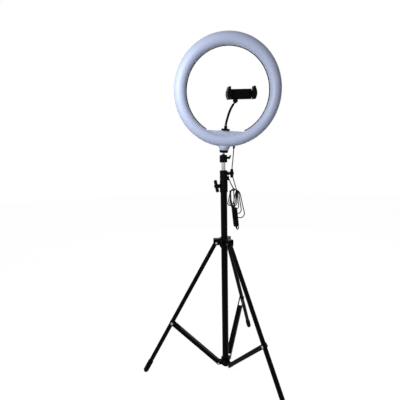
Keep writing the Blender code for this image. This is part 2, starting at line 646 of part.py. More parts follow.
inner_half = half_w - RING_WALL
slope = inner_back[1][1] / (inner_half - (inner_back[1][0] - mid_r))
board_back = BOARD_Y + BOARD_THICK
facet_sag = mid_r * (1 - math.cos(math.pi / CHIP_SLOTS))
board_half = inner_half - board_back / slope - facet_sag - GAP
rows = [mid_r + board_half * part for part in (-0.7, -0.4, 0.4, 0.7)]
board_low = mid_r - board_half
board_high = mid_r + board_half
board_edge = [(r, BOARD_Y) for r in [board_low] + rows + [board_high]]
board = lathe(board_edge + [(board_high, board_back), (board_low, board_back)], CHIP_SLOTS, "Y")
chips = []
for face in board.faces:
    spot = face.calc_center_median()
    radius = math.hypot(spot.x, spot.z)
    slot = round(math.atan2(spot.z, spot.x) / (2 * math.pi) * CHIP_SLOTS - 0.5)
    in_row = rows[0] < radius < rows[1] or rows[2] < radius < rows[3]
    if abs(spot.y - BOARD_Y) < 0.1 and in_row and slot % 2 == 0:
        chips.append(face)
for face in chips:
    pushed = bmesh.ops.extrude_face_region(board, geom=[face])["geom"]
    raised = [v for v in pushed if isinstance(v, bmesh.types.BMVert)]
    bmesh.ops.translate(board, vec=(0, -0.8, 0), verts=raised)
    if face.is_valid:
        board.faces.remove(face)
add("led_board", board, BOARD, head_frame, ring_at)

rim_half = math.acos(CHORD_DROP / RING_IN_R) + 0.03
rim_steps = 48
rim_bm = bmesh.new()
rim_rings = []
for i in range(rim_steps + 1):
    angle = -math.pi / 2 + rim_half + (2 * math.pi - 2 * rim_half) * i / rim_steps
    corner = [(RING_IN_R - GAP - RIM_THICK, GAP), (RING_IN_R - GAP, GAP),
              (RING_IN_R - GAP, RIM_DEPTH), (RING_IN_R - GAP - RIM_THICK, RIM_DEPTH)]
    rim_rings.append([rim_bm.verts.new((r * math.cos(angle), y, r * math.sin(angle))) for r, y in corner])
for near, far in zip(rim_rings, rim_rings[1:]):
    for k in range(4):
        n = (k + 1) % 4
        rim_bm.faces.new((near[k], near[n], far[n], far[k]))
rim_bm.faces.new(rim_rings[0])
rim_bm.faces.new(rim_rings[-1])
add("inner_rim", rim_bm, BLACK_PLASTIC, head_frame, ring_at)

bush_low = DISC_Z1 + 2 * GAP - BALL_Z
bush = tube_profile(5.0, 3.0 + GAP, bush_low, bush_low + NECK_RISE - 0.4)
add("neck_bush", lathe(bush, 24), STEEL, head_frame)
gland_z = RING_Z - math.sqrt(RING_OUT_R ** 2 - GLAND[0] ** 2) - BALL_Z
gland = [(0, gland_z + 6.0), (3.5, gland_z + 6.0), (3.5, gland_z - 3.0), (2.5, gland_z - 9.0),
         (0, gland_z - 9.0)]
add("cable_gland", lathe(gland, 20), RUBBER, head_frame, (GLAND[0], GLAND[1] + RING_Y, 0))

# Phone holder: base knob, two gooseneck lengths, ball, spring clamp
holder = Vector((HOLDER_X, HOLDER_Y, HOLDER_Z - BALL_Z))
holder_frame = empty("holder_frame", holder, head_frame)
base_knob = [(0, -7.0), (2.8, -7.0), (2.8, GAP), (12.4, GAP), (13.0, 1.0), (13.0, 5.0), (12.2, 5.8),
             (5.2, 5.8), (4.6, 15.4), (0, 15.4)]
add("holder_base", lathe(base_knob, 24), BLACK_PLASTIC, holder_frame)
goose = smooth_route([(x, 0, z) for x, z in GOOSE_ROUTE], 3.0)
bend = len(goose) // 2
lower_line = goose[:bend] + [goose[bend - 1].lerp(goose[bend], 0.5)]
lower_goose = add("gooseneck_lower", sweep(lower_line, GOOSE_R, 8), RUBBER, holder_frame)
knuckle = bmesh.new()
bmesh.ops.create_uvsphere(knuckle, u_segments=8, v_segments=6, radius=GOOSE_R - 0.9)
combine(lower_goose, knuckle, "UNION", goose[bend])
bend_frame = empty("bend_frame", goose[bend], holder_frame)
upper_line = [p - goose[bend] for p in goose[bend + 1:]]
add("gooseneck_upper", sweep(upper_line, GOOSE_R, 8), RUBBER, bend_frame)
ball_at = Vector((CLAMP_BALL[0], 0, CLAMP_BALL[1])) - goose[bend]
ball_line = [upper_line[-1] + (ball_at - upper_line[-1]).normalized() * GAP, ball_at]
clamp_ball = add("clamp_ball", sweep(ball_line, 2.4, 10), BLACK_PAINT, bend_frame)
sphere = bmesh.new()
bmesh.ops.create_uvsphere(sphere, u_segments=16, v_segments=8, radius=CLAMP_BALL_R)
combine(clamp_ball, sphere, "UNION", ball_at)

clamp_frame = empty("clamp_frame", ball_at, bend_frame, (0, CLAMP_ROLL, 0))
centre = Vector((CLAMP_SHIFT[0], 0, CLAMP_SHIFT[1]))
jaw_foot = -CLAMP_HALF_H - 0.8
jaw_out = CLAMP_HALF_W + JAW_WALL


def jaw_wall(side):
    """A jaw's side wall with its outer corners cut back; side is -1 for the fixed jaw."""
    outline = [(CLAMP_HALF_W, jaw_foot), (jaw_out - 4, jaw_foot), (jaw_out, -4), (jaw_out, 6),
               (jaw_out - 5.5, JAW_TOP), (CLAMP_HALF_W, JAW_TOP)]
    return prism([(side * x, z) for x, z in outline], -CLAMP_THICK, JAW_DEPTH, "Y")


def jaw_lip(side):
    """The lip that keeps a phone from falling forward out of a jaw."""
    outline = [(CLAMP_HALF_W - 4, jaw_foot + 3), (jaw_out - 3, jaw_foot + 3), (jaw_out - 0.4, -4),
               (jaw_out - 0.4, 6), (jaw_out - 6, JAW_TOP - 0.4), (CLAMP_HALF_W - 3, JAW_TOP - 0.4)]
    return prism([(side * x, z) for x, z in outline], JAW_DEPTH - LIP_THICK, JAW_DEPTH - 0.4, "Y")


plate = block((-CLAMP_HALF_W - 2, 0, -CLAMP_HALF_H), (CLAMP_HALF_W - 2.5, CLAMP_THICK, CLAMP_HALF_H), 1.2)
body = add("clamp_body", plate, BLACK_PLASTIC, clamp_frame, centre)
combine(body, jaw_wall(-1), "UNION")
combine(body, jaw_lip(-1), "UNION")
root_rib = block((-CLAMP_HALF_W - 1, -PAD_THICK, jaw_foot + 2), (-CLAMP_HALF_W + 2, 2, CLAMP_HALF_H - 2))
combine(body, root_rib, "UNION")
rest_half = CLAMP_HALF_H - 3
phone_rest = block((-CLAMP_HALF_W + 6, -REST_RAISE, -rest_half), (CLAMP_HALF_W - 8, 1, rest_half))
combine(body, phone_rest, "UNION")
cup_at = (-CLAMP_SHIFT[0], 0, -CLAMP_SHIFT[1])
cup_top = CLAMP_SHIFT[1] - CLAMP_HALF_H - GAP
combine(body, lathe(rod_profile(7.4, -1.4, cup_top, 0.8), 24), "UNION", cup_at)
web_x = -CLAMP_SHIFT[0]
combine(body, block((web_x - 6, 0.8, -CLAMP_HALF_H - 3.5), (web_x + 6, 8.2, -CLAMP_HALF_H + 2)), "UNION")
hollow = bmesh.new()
bmesh.ops.create_uvsphere(hollow, u_segments=16, v_segments=8, radius=CLAMP_BALL_R + GAP)
combine(body, hollow, "DIFFERENCE", cup_at)
combine(body, block((-10, 2.2, -10), (CLAMP_HALF_W + 4, 6.8, 10)), "DIFFERENCE")
combine(body, block((-33, 2.2, -3), (0, 6.8, 3)), "DIFFERENCE")
arm = block((-5, 2.2 + GAP, -10 + GAP), (CLAMP_HALF_W + 2, 6.8 - GAP, 10 - GAP))
jaw = add("sliding_jaw", arm, BLACK_PLASTIC, clamp_frame, centre)
combine(jaw, jaw_wall(1), "UNION")
combine(jaw, jaw_lip(1), "UNION")
coil = []
for step in range(41):
    angle = step * math.pi / 4
    coil.append(Vector((-32 + 26.5 * step / 40, 4.5 + 1.5 * math.cos(angle), 1.5 * math.sin(angle))))
add("clamp_spring", sweep(coil, 0.4, 4), STEEL, clamp_frame, centre)
pad_near = CLAMP_HALF_W - GAP
pad_low = jaw_foot + 2
pad_high = JAW_TOP - 4
pad_front = -JAW_DEPTH + LIP_THICK + GAP
pad_back = -PAD_THICK - GAP
add("fixed_pad", block((-pad_near, pad_front, pad_low), (-pad_near + PAD_THICK, pad_back, pad_high), 0.4),
    RUBBER, clamp_frame, centre)
add("jaw_pad", block((pad_near - PAD_THICK, pad_front, pad_low), (pad_near, pad_back, pad_high), 0.4),
    RUBBER, clamp_frame, centre)

# Lead: the drop from the ring, the tied hank, the controller, the tail and its plug
cord_start = head_turn @ Vector((GLAND[0], GLAND[1] + RING_Y, gland_z - 9.0 - GAP)) + Vector((0, 0, BALL_Z))


def hank_point(turn_at):
    """A point on the hank: oval turns hung from one neck, the later ones wider and further right."""
    part = turn_at - int(turn_at)
    past = (turn_at - HANK_MIDDLE) / HANK_MIDDLE
    grow = max(0.0, past)
    half = HANK_HALF + 6.5 * grow
    side = HANK_SIDE + 20.0 * grow
    foot = HANK_X + 16.0 * past * abs(past) ** 0.4
    bow = math.pi * half
    at = part * (2 * bow + 2 * side) - bow / 2
    if at < 0:
        x, z = half * math.sin(at / half + math.pi / 2), half * math.cos(at / half + math.pi / 2)
    elif at < side:
        x, z = half, -at
    elif at < side + bow:
        angle = (at - side) / half
        x, z = half * math.cos(angle), -side - half * math.sin(angle)
    elif at < 2 * side + bow:
        x, z = -half, at - 2 * side - bow
    else:
        angle = (at - 2 * side - bow) / half
        x, z = -half * math.cos(angle), half * math.sin(angle)
    below = (half - z) / (side + 2 * half)
    middle = HANK_X + (foot - HANK_X) * below
    return seen(middle + x, HANK_Y + HANK_PITCH * turn_at, HANK_TOP_Z - half + z)


hank_steps = range(round(HANK_TURNS * 24 * 0.02), round(HANK_TURNS * 24 * 0.985) + 1)
hank = [hank_point(i / 24) for i in hank_steps]
hank_in = hank[0] + (hank[0] - hank[1]).normalized() * GAP
hank_out = hank[-1] + (hank[-1] - hank[-2]).normalized() * GAP
lead_in = (hank_in - hank[1]).normalized()
drop = smooth_route([cord_start, cord_start + head_turn @ Vector((0, 0, -8.0)), seen(30.5, 11.0, 699.0),
                     seen(28.5, 18.0, 675.0), seen(29.5, 20.0, 655.0), seen(32.5, 20.0, 638.0),
                     seen(37.0, 20.0, 622.0), hank_in + lead_in * 8.0, hank_in], 7.0)
cord("cord_drop", drop, mid_frame)
cord("cord_hank", hank, mid_frame, 1)
least = min((a - b).length for i, a in enumerate(hank) for b in hank[i + 8:])
print("hank least self gap mm", round(least - 2 * CORD_R, 3))

controller_frame = empty("controller_frame", seen(*CONTROLLER), mid_frame, (0, -CONTROLLER_TILT, VIEW_TURN))
wide, thick, tall = [s / 2 for s in CONTROLLER_SIZE]
front_half = block((-wide, -thick, -tall), (wide, -GAP / 2, tall), 2.4)
case = add("controller_front", front_half, BLACK_PLASTIC, controller_frame)
combine(case, block((-wide + 2, -thick + 2, -tall + 3), (wide - 2, 2, tall - 3)), "DIFFERENCE")
back_half = block((-wide, GAP / 2, -tall), (wide, thick, tall), 2.4)
back = add("controller_back", back_half, BLACK_PLASTIC, controller_frame)
combine(back, block((-wide + 2, -2, -tall + 3), (wide - 2, thick - 2, tall - 3)), "DIFFERENCE")
for piece in (case, back):
    combine(piece, lathe(rod_profile(CORD_R + GAP, -80, 80), 16), "DIFFERENCE")
for number, height in enumerate((16.0, 0.0, -16.0), 1):
    combine(case, lathe(rod_profile(4.5 + GAP, -12, 0), 14, "Y"), "DIFFERENCE", (0, 0, height))
    cap = -thick - 1.4
    button = [(0, cap), (3.9, cap), (4.5, cap + 0.6), (4.5, -2.6), (0, -2.6)]
    add(f"button_{number}", lathe(button, 14, "Y"), RUBBER, controller_frame, (0, 0, height))

# Link over the top into the controller, tail out of its foot, plug, and the tie on the collar's ear
tilt_down = seen(math.sin(CONTROLLER_TILT), 0, -math.cos(CONTROLLER_TILT))
case_top = seen(*CONTROLLER) - tilt_down * (tall - 4.0)
rise = (hank_out - hank[-1]).normalized()
link = smooth_route([hank_out, hank_out + rise * 5.0, seen(29.0, -12.0, 604.5), seen(28.6, -21.0, 605.5),
                     seen(28.3, -33.0, 600.0), seen(28.0, -42.0, 587.0), seen(27.8, -44.8, 572.0),
                     case_top - tilt_down * 8.0, case_top], 6.0)
cord("cord_link", link, mid_frame)
case_turn = about_z(VIEW_TURN) @ Matrix.Rotation(-CONTROLLER_TILT, 3, "Y")
foot_z = 4.0 - tall
tail = [(0, 0, foot_z), (0, 0, foot_z - 5.0)]
for step in range(9):
    angle = math.pi * step / 8
    across = TAIL_BEND_R * (1 - math.cos(angle))
    tail.append((TAIL_WAY[0] * across, TAIL_WAY[1] * across, foot_z - 9.0 - TAIL_BEND_R * math.sin(angle)))
tail += [(PLUG[0], PLUG[1], PLUG[2] - 6.0), (PLUG[0], PLUG[1], PLUG[2] - GAP)]
cord("cord_tail", smooth_route([seen(*CONTROLLER) + case_turn @ Vector(p) for p in tail], 5.0), mid_frame)
plug_bm = block((-7.8, -3.7, 0.0), (7.8, 3.7, PLUG_LENGTH), 1.4)
add("usb_plug", plug_bm, BLACK_PLASTIC, controller_frame, PLUG)
shell_low = PLUG_LENGTH + GAP
metal = add("usb_shell", block((-6.0, -2.25, shell_low), (6.0, 2.25, shell_low + 15.0), 0.3), STEEL,
            controller_frame, PLUG)
combine(metal, block((-5.6, -1.85, shell_low + 3.0), (5.6, 1.85, shell_low + 20.0)), "DIFFERENCE")

tie_r = 1.1
bar_z = HANK_TOP_Z - CORD_R - tie_r - GAP
ear_top = EAR_Z1 + tie_r + GAP
tie = [(14.6, 0.0, ear_top), (14.6, 2.6, ear_top), (15.0, 4.6, ear_top - 2.5), (17.0, 6.6, 639.0),
       (24.0, 15.0, 622.0), (30.5, 23.0, 610.0), (HANK_X, 24.4, 605.5), (HANK_X, 22.0, bar_z),
       (HANK_X, 12.0, bar_z), (HANK_X, 0.0, bar_z), (HANK_X, -9.0, bar_z), (HANK_X, -11.6, 605.5),
       (30.5, -10.5, 610.0), (24.0, -8.5, 622.0), (17.0, -6.2, 639.0), (15.0, -4.6, ear_top - 2.5),
       (14.6, -2.6, ear_top)]
add("cord_tie", sweep([seen(*p) for p in tie], tie_r, 8, True), RUBBER, mid_frame)

# Move the footprint's centre onto the origin
bpy.context.view_layer.update()
corners = [obj.matrix_world @ Vector(corner) for obj in bpy.data.objects
           if obj.type == "MESH" and not obj.name.startswith(("controller", "button", "usb", "cord"))
           for corner in [v.co for v in obj.data.vertices]]
low = [min(c[i] for c in corners) for i in range(3)]
high = [max(c[i] for c in corners) for i in range(3)]
root.location = (-(low[0] + high[0]) / 2, -(low[1] + high[1]) / 2, -low[2])
bpy.context.view_layer.update()
for frame in (hub_frame, ball_frame, holder_frame, bend_frame, clamp_frame, controller_frame):
    print("frame", frame.name, [round(v, 6) for v in frame.matrix_world.translation])
for named in ("lower_knob", "upper_knob", "hub_knob", "ball_lever", "button_1", "clamp_body"):
    print("piece", named, [round(v, 6) for v in bpy.data.objects[named].matrix_world.translation])
for number in (1, 2, 3):
    for kind in ("leg", "brace"):
        frame = bpy.data.objects[f"{kind}_{number}_frame"]
        print("frame", frame.name, [round(v, 6) for v in frame.matrix_world.translation])
print("column axis at", [round(v, 6) for v in root.location], "height", round(high[2] - low[2], 5))
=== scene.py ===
"""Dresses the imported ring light: cords, fine visual pieces, finishes and a plain studio stage."""
import math

import bmesh
import bpy
from bpy.props import FloatProperty, FloatVectorProperty, IntProperty, PointerProperty
from bpy.types import Operator, Panel, PropertyGroup
from mathutils import Matrix, Vector


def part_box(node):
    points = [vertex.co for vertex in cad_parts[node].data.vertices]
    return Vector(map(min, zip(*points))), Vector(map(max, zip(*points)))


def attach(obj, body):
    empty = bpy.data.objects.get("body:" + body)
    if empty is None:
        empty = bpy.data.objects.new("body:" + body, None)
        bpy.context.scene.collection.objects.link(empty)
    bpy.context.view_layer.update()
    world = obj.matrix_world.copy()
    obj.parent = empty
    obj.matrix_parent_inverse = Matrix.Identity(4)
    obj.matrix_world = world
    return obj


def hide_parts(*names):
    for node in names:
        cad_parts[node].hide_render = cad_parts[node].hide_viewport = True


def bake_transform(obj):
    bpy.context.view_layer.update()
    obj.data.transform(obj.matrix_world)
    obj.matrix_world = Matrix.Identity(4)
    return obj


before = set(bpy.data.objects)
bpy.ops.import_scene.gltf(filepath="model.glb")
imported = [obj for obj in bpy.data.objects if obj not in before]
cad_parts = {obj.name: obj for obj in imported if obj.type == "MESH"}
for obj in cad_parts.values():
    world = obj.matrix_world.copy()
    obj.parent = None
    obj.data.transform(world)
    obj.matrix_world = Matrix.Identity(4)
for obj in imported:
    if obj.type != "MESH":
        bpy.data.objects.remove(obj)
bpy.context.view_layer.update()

bl_info = {
    "name": "Ring light dressing",
    "version": (1, 0, 0),
    "blender": (4, 5, 0),
    "location": "3D View > Sidebar > Ring light",
    "description": "Cords, fine pieces, finishes and stage for a ring light on a folding stand",
    "category": "Object",
}

MM = 0.001

# Shading: edges folded more than this stay sharp, and facet corners this close in metres are joined
SHARP_EDGE = math.radians(38)
JOIN_REACH = 2e-6

# Finishes: the middle range of a noise, and how fine the noise of patches and grain is
NOISE_RANGE = (0.3, 0.7)
PATCH_DETAIL = 3.0
GRAIN_DETAIL = 2.0
GRAIN_STRENGTH = 0.6

# The stand's axis, taken from the fixed tube
TUBE_LOW, TUBE_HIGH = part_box("lower_tube")
COLUMN = Vector(((TUBE_LOW[0] + TUBE_HIGH[0]) / 2, (TUBE_LOW[1] + TUBE_HIGH[1]) / 2, 0.0))

# Camera fitted to the photograph, its place in metres from the stand's axis and the floor
CAMERA_AT = Vector((-0.172047, -0.912739, 0.6861))
CAMERA_YAW = math.radians(-5.984)
CAMERA_PITCH = math.radians(6.8766)
CAMERA_ROLL = math.radians(1.18)
CAMERA_LENS = 26.38
CAMERA_SENSOR = 36.0

# Floor in metres, with the white that it shows and the share of that white in its look
FLOOR_Z = -0.0006
FLOOR_SIDES = 96
FLOOR_WHITE = 1.09
FLOOR_WHITE_SHARE = 0.9

# Lamps in metres: name, the stage setting that holds the power, size and place
LAMP_TARGET = Vector((0.05, 0.0, 0.62))
LAMPS = (
    ("key_left", "key_power", 0.4, (-0.3, -0.4, 0.9)),
    ("side_left", "side_power", 0.7, (-1.3, 0.1, 0.9)),
    ("top_soft", "top_power", 1.6, (0.2, -0.3, 2.5)),
    ("back_soft", "back_power", 1.2, (0.5, 1.9, 1.2)),
)

# All lengths from here on are in millimetres, unless a line says metres
GAP = 0.3
POLE_R = 1e-6
BAR_EDGE_STEPS = 3
SMALL_SIDES = 20

# Head: its ball and the ring's middle, from the stand's axis and the floor as in the CAD source
BALL_Z = 709.5
HEAD_TURN = math.radians(-1.65)
HEAD_PITCH = math.radians(9.8)
HEAD_LEAN = math.radians(3.45)
RING_Y = -2.0
RING_Z = 900.2
RING_OUT_R = 160.0
RING_IN_R = 125.0
LIMB_MIDDLE = (RING_OUT_R + RING_IN_R) / 2
LIMB_HALF = (RING_OUT_R - RING_IN_R) / 2
SHELL_DEPTH = 18.0

# Diffuser: a smooth dome that stays inside the CAD's facets
DIFFUSER_DEPTH = 17.0
DIFFUSER_WALL = 2.0
FACET_SAG = 0.35
DOME_OUT_STEPS = 36
DOME_IN_STEPS = 18

# Inner rim: a dark band of painted shade for the shell's shadowed inner edge, ending a small angle before
# the platform's chord cuts the hole
CHORD_DROP = 111.7
RIM_THICK = 1.3
RIM_DEPTH = 5.6
RIM_BEAD_R = 1.2
RIM_BEAD_STEPS = 6
RIM_END_CLEAR = 0.03
RIM_END = math.acos(CHORD_DROP / RING_IN_R) + RIM_END_CLEAR

# Shell screws: the head's outline as shares of its radius and heights, and the cross in it
SCREW_SINK = 0.7
SCREW_OUTLINE = ((0, 0), (1, 0), (1, 0.9), (0.86, 1.5), (0.5, 1.8), (0.42, 1.1), (0, 1.0))
CROSS_REACH = 0.4
CROSS_HALF = 0.25
CROSS_HEIGHTS = (0.9, 1.35)
CROSS_EDGE = 0.08

# Phone holder: base, gooseneck and clamp, each from the one before it
HOLDER_AT = (1.0, 5.0, 79.0)
GOOSE_R = 3.7
GOOSE_ROUTE = ((0.0, 16.0), (0.6, 24.0), (3.4, 37.7), (6.0, 49.0), (9.3, 59.8), (13.4, 69.5),
               (18.3, 78.4))
GOOSE_SIDES = 18
GOOSE_RIB_STEPS = 6
GOOSE_RIB_ROUND = 0.6
CLAMP_BALL = (23.5, 0.0, 85.6)
CLAMP_ROLL = math.radians(-4.6)
CLAMP_SHIFT = (15.6, 0.0, 21.2)

# Ribs on the clamp's pads
PAD_FACE = 34.2
PAD_RIBS = 7
PAD_RIB_FIRST = -10.5
PAD_RIB_PITCH = 4.0
PAD_RIB_HALF = 0.7
PAD_RIB_SPAN = (-18.6, -2.9)
PAD_RIB_RISE = 0.7
PAD_RIB_SINK = 0.2
PAD_RIB_EDGE = 0.3

# Lead: its cord, and the turn to the part's frame of spots that are given as the camera sees the stand
CORD_R = 1.6
VIEW_TURN = math.radians(-7.0)
DROP_SIDES = 14
HANK_SIDES = 12
DROP_STEP = 2.5
HANK_STEP = 2.0
ROUTE_DENSITY = 24

# The drop from the gland, and where along it, in metres, it is cut into stretches
GLAND = (31.4, 6.0)
GLAND_LENGTH = 9.0
LEAD_IN = 8.0
DROP_SPOTS = ((30.5, 11.0, 699.0), (28.5, 18.0, 675.0), (29.5, 20.0, 655.0), (32.5, 20.0, 638.0),
              (37.0, 20.0, 622.0))
DROP_CUTS = (0.031, 0.079)

# The hank: the share of its turns where it begins and ends, its first sizes and how later turns grow
HANK_TURNS = 6
HANK_TURN_POINTS = 24
HANK_BEGIN = 0.02
HANK_END = 0.985
HANK_MIDDLE = 2.6
HANK_HALF = 9.8
HANK_SIDE = 34.0
HANK_WIDEN = 6.5
HANK_LENGTHEN = 20.0
HANK_FAN = 16.0
HANK_FAN_POWER = 0.4
HANK_TOP_Z = 606.0
HANK_PITCH = -4.4
HANK_X = 33.0
HANK_Y = 20.0

# The link from the hank to the controller
LINK_START = 5.0
LINK_SPOTS = ((29.0, -12.0, 604.5), (28.6, -21.0, 605.5), (28.3, -33.0, 600.0), (28.0, -42.0, 587.0),
              (27.8, -44.8, 572.0))

# The controller, and the tail that bends back from its foot to the plug
CONTROLLER = (31.2, -45.0, 526.0)
CONTROLLER_TILT = math.radians(6.0)
CONTROLLER_HALF = (8.25, 5.5, 29.0)
CASE_INSET = 4.0
PLUG = (1.0, 9.6, -16.0)
PLUG_LEAD = 6.0
TAIL_START = 5.0
TAIL_DROP = 9.0
TAIL_BEND_R = 6.6
TAIL_BEND_STEPS = 8
TAIL_WAY = (0.55, 0.835)

# Marks on the controller's buttons: plus, ring and minus
MARK_STROKES = (("across", "upright"), ("ring",), ("across",))
BUTTON_PITCH = 16.0
BUTTON_RISE = 1.4
MARK_HALF = 2.2
MARK_HALF_WIDTH = 0.4
MARK_RISE = 0.3
MARK_SINK = 0.1
MARK_EDGE = 0.15
MARK_RING = (1.5, 2.3)
MARK_SIDES = 24

# Strain relief: radius and height along its ribbed outline
RELIEF_CLEAR = 0.02
RELIEF_BORE_R = CORD_R + RELIEF_CLEAR
RELIEF_OUTLINE = ((RELIEF_BORE_R, 0.0), (3.3, 0.0), (3.3, 1.4), (2.4, 1.8), (2.4, 2.4), (3.0, 2.7),
                  (3.0, 3.8), (2.2, 4.1), (2.2, 4.7), (2.6, 5.0), (2.6, 6.0), (RELIEF_BORE_R, 6.4))

# The tie: from its knot up over the collar's ear, down behind and under the hank's neck
TIE_R = 1.1
TIE_SIDES = 10
EAR_TOP_Z = 649.4
TIE_BAR_Z = HANK_TOP_Z - CORD_R - TIE_R - GAP
TIE_SPOTS = (
    (HANK_X - 1.2, -11.2, 608.0), (30.5, -10.5, 610.0), (24.0, -8.5, 622.0), (17.0, -6.2, 639.0),
    (15.0, -4.6, EAR_TOP_Z - 2.5), (14.6, -2.6, EAR_TOP_Z), (14.6, 0.0, EAR_TOP_Z),
    (14.6, 2.6, EAR_TOP_Z), (15.0, 4.6, EAR_TOP_Z - 2.5), (17.0, 6.6, 639.0), (24.0, 15.0, 622.0),
    (30.5, 23.0, 610.0), (HANK_X, 24.4, 605.5), (HANK_X, 22.0, TIE_BAR_Z), (HANK_X, 12.0, TIE_BAR_Z),
    (HANK_X, 0.0, TIE_BAR_Z), (HANK_X, -9.0, TIE_BAR_Z), (HANK_X, -11.6, 605.5),
    (HANK_X - 0.8, -11.4, 607.4),
)
KNOT_AT = (HANK_X - 1.4, -11.8, 608.6)
KNOT_R = 1.9
KNOT_LINE_R = 1.15
KNOT_LEANS = (0.35, -0.5)
KNOT_TWIST = 0.7

# Legs and braces: azimuths in degrees, and pivots as distance from the stand's axis and height
LEG_AZIMUTHS = (177.64, 297.64, 57.64)
HUB_PIVOT = (27.5, 435.8)
LEG_RUN = 245.7
LEG_ANGLE = math.atan2(LEG_RUN, HUB_PIVOT[1])
BRACE_JOINT = (177.62, 169.53)
BRACE_HALF = 8.4
RIVET_SHANK_R = 2.3
RIVET_SHANK = 0.6
RIVET_DOME_DEGREES = 15

# Foot rings: outline as distance out from the cap and along the leg
FOOT_CAP_R = 8.5
FOOT_TURN = (HUB_PIVOT[1] - FOOT_CAP_R) / math.cos(LEG_ANGLE)
FOOT_RINGS = 5
FOOT_RING_FIRST = 9.0
FOOT_RING_PITCH = 6.0
FOOT_RING_OUTLINE = ((-0.6, -1.4), (0.15, -0.7), (0.15, 0.7), (-0.6, 1.2))
FOOT_SIDES = 28

# Frames of the groups: millimetres in, metres of the part's frame out
HEAD_POSE = (Matrix.Rotation(HEAD_TURN, 3, "Z") @ Matrix.Rotation(HEAD_PITCH, 3, "X")
             @ Matrix.Rotation(HEAD_LEAN, 3, "Y"))
HEAD = (Matrix.Translation(COLUMN + Vector((0, 0, BALL_Z * MM))) @ HEAD_POSE.to_4x4()
        @ Matrix.Scale(MM, 4))
RING = HEAD @ Matrix.Translation((0, RING_Y, RING_Z - BALL_Z))
HOLDER = HEAD @ Matrix.Translation(HOLDER_AT)
CLAMP = (HOLDER @ Matrix.Translation(CLAMP_BALL) @ Matrix.Rotation(CLAMP_ROLL, 4, "Y")
         @ Matrix.Translation(CLAMP_SHIFT))
STAND = Matrix.Translation(COLUMN) @ Matrix.Scale(MM, 4)


def linear(hex_text):
    """An sRGB hex colour as linear RGB."""
    values = [int(hex_text[i:i + 2], 16) / 255.0 for i in (1, 3, 5)]
    return tuple(v / 12.92 if v <= 0.04045 else ((v + 0.055) / 1.055) ** 2.4 for v in values)


class RingLightSizes(PropertyGroup):
    """Sizes of the fine pieces that the dressing adds."""

    cord_diameter: FloatProperty(
        name="Cord diameter", description="Outside of the lead's jacket",
        default=2 * CORD_R * MM, unit="LENGTH")
    rib_pitch: FloatProperty(
        name="Gooseneck rib pitch", description="Spacing of the gooseneck's ribs",
        default=1.9 * MM, unit="LENGTH")
    rib_height: FloatProperty(
        name="Gooseneck rib height", description="Depth of the groove between ribs",
        default=0.55 * MM, unit="LENGTH")
    rivet_diameter: FloatProperty(
        name="Rivet diameter", description="Head of the rivets that join brace and leg",
        default=8.4 * MM, unit="LENGTH")
    rivet_height: FloatProperty(
        name="Rivet height", description="Height of a rivet's domed head",
        default=1.8 * MM, unit="LENGTH")
    screw_diameter: FloatProperty(
        name="Screw diameter", description="Head of the screws on the ring's back",
        default=5.6 * MM, unit="LENGTH")
    shell_screws: IntProperty(
        name="Shell screws", description="Screws around the ring's back", default=8, min=3, max=24)
    diffuser_steps: IntProperty(
        name="Ring steps", description="Facets around the diffuser and along the inner rim",
        default=160, min=48, max=360)


class RingLightColours(PropertyGroup):
    """Base colours of the finishes."""

    powder_coat: FloatVectorProperty(
        name="Powder coat", description="Tubes, legs and braces", subtype="COLOR",
        default=linear("#0A0B0E"))
    black_abs: FloatVectorProperty(
        name="Black ABS", description="Collars, hub, knobs and clamp", subtype="COLOR",
        default=linear("#0A0A0C"))
    rubber: FloatVectorProperty(
        name="Rubber", description="Feet, pads, gland and buttons", subtype="COLOR",
        default=linear("#0C0C0D"))
    cord: FloatVectorProperty(
        name="Cord jacket", description="The lead's PVC jacket", subtype="COLOR",
        default=linear("#08080A"))
    milky: FloatVectorProperty(
        name="Milky diffuser", description="The ring's front", subtype="COLOR",
        default=linear("#C8D3F3"))
    white_abs: FloatVectorProperty(
        name="White ABS", description="The ring's back shell and neck", subtype="COLOR",
        default=linear("#C0CAE0"))
    steel: FloatVectorProperty(
        name="Bright steel", description="Top tube, pins, rivets and screws", subtype="COLOR",
        default=linear("#9A9CA0"))
    board: FloatVectorProperty(
        name="Circuit board", description="The board behind the diffuser", subtype="COLOR",
        default=linear("#E2E4DE"))


class RingLightStage(PropertyGroup):
    """Studio light levels and the floor."""

    key_power: FloatProperty(
        name="Key power", description="Soft light ahead and on the left", default=2.95, unit="POWER")
    side_power: FloatProperty(
        name="Side power", description="Soft light far on the left", default=0.6, unit="POWER")
    top_power: FloatProperty(
        name="Top power", description="Soft light overhead", default=0.6, unit="POWER")
    back_power: FloatProperty(
        name="Back power", description="Soft light behind, for the ring's back", default=11.0, unit="POWER")
    ambient: FloatProperty(
        name="Ambient", description="Light from the white surroundings", default=0.045, min=0.0, max=1.0)
    floor_colour: FloatVectorProperty(
        name="Floor", description="Colour of the floor", subtype="COLOR", default=linear("#F4F4F4"))
    floor_radius: FloatProperty(
        name="Floor radius", description="How far the floor reaches", default=6.0, unit="LENGTH")


def add_node(tree, kind, values=None, links=None, **settings):
    """Add a node, set its options and socket values, and link other nodes' outputs into it."""
    made = tree.nodes.new(kind)
    for name, value in settings.items():
        setattr(made, name, value)
    for name, value in (values or {}).items():
        made.inputs[name].default_value = value
    for name, socket in (links or {}).items():
        tree.links.new(socket, made.inputs[name])
    return made


def per_metre(size_mm):
    """The texture scale that gives a pattern of this size in millimetres."""
    return 1000.0 / size_mm


def start_finish(name):
    """An empty material with its output, shader and object coordinates."""
    made = bpy.data.materials.new(name)
    made.use_nodes = True
    tree = made.node_tree
    tree.nodes.clear()
    shader = add_node(tree, "ShaderNodeBsdfPrincipled")
    add_node(tree, "ShaderNodeOutputMaterial", links={"Surface": shader.outputs["BSDF"]})
    place = add_node(tree, "ShaderNodeTexCoord").outputs["Object"]
    return tree, shader, place


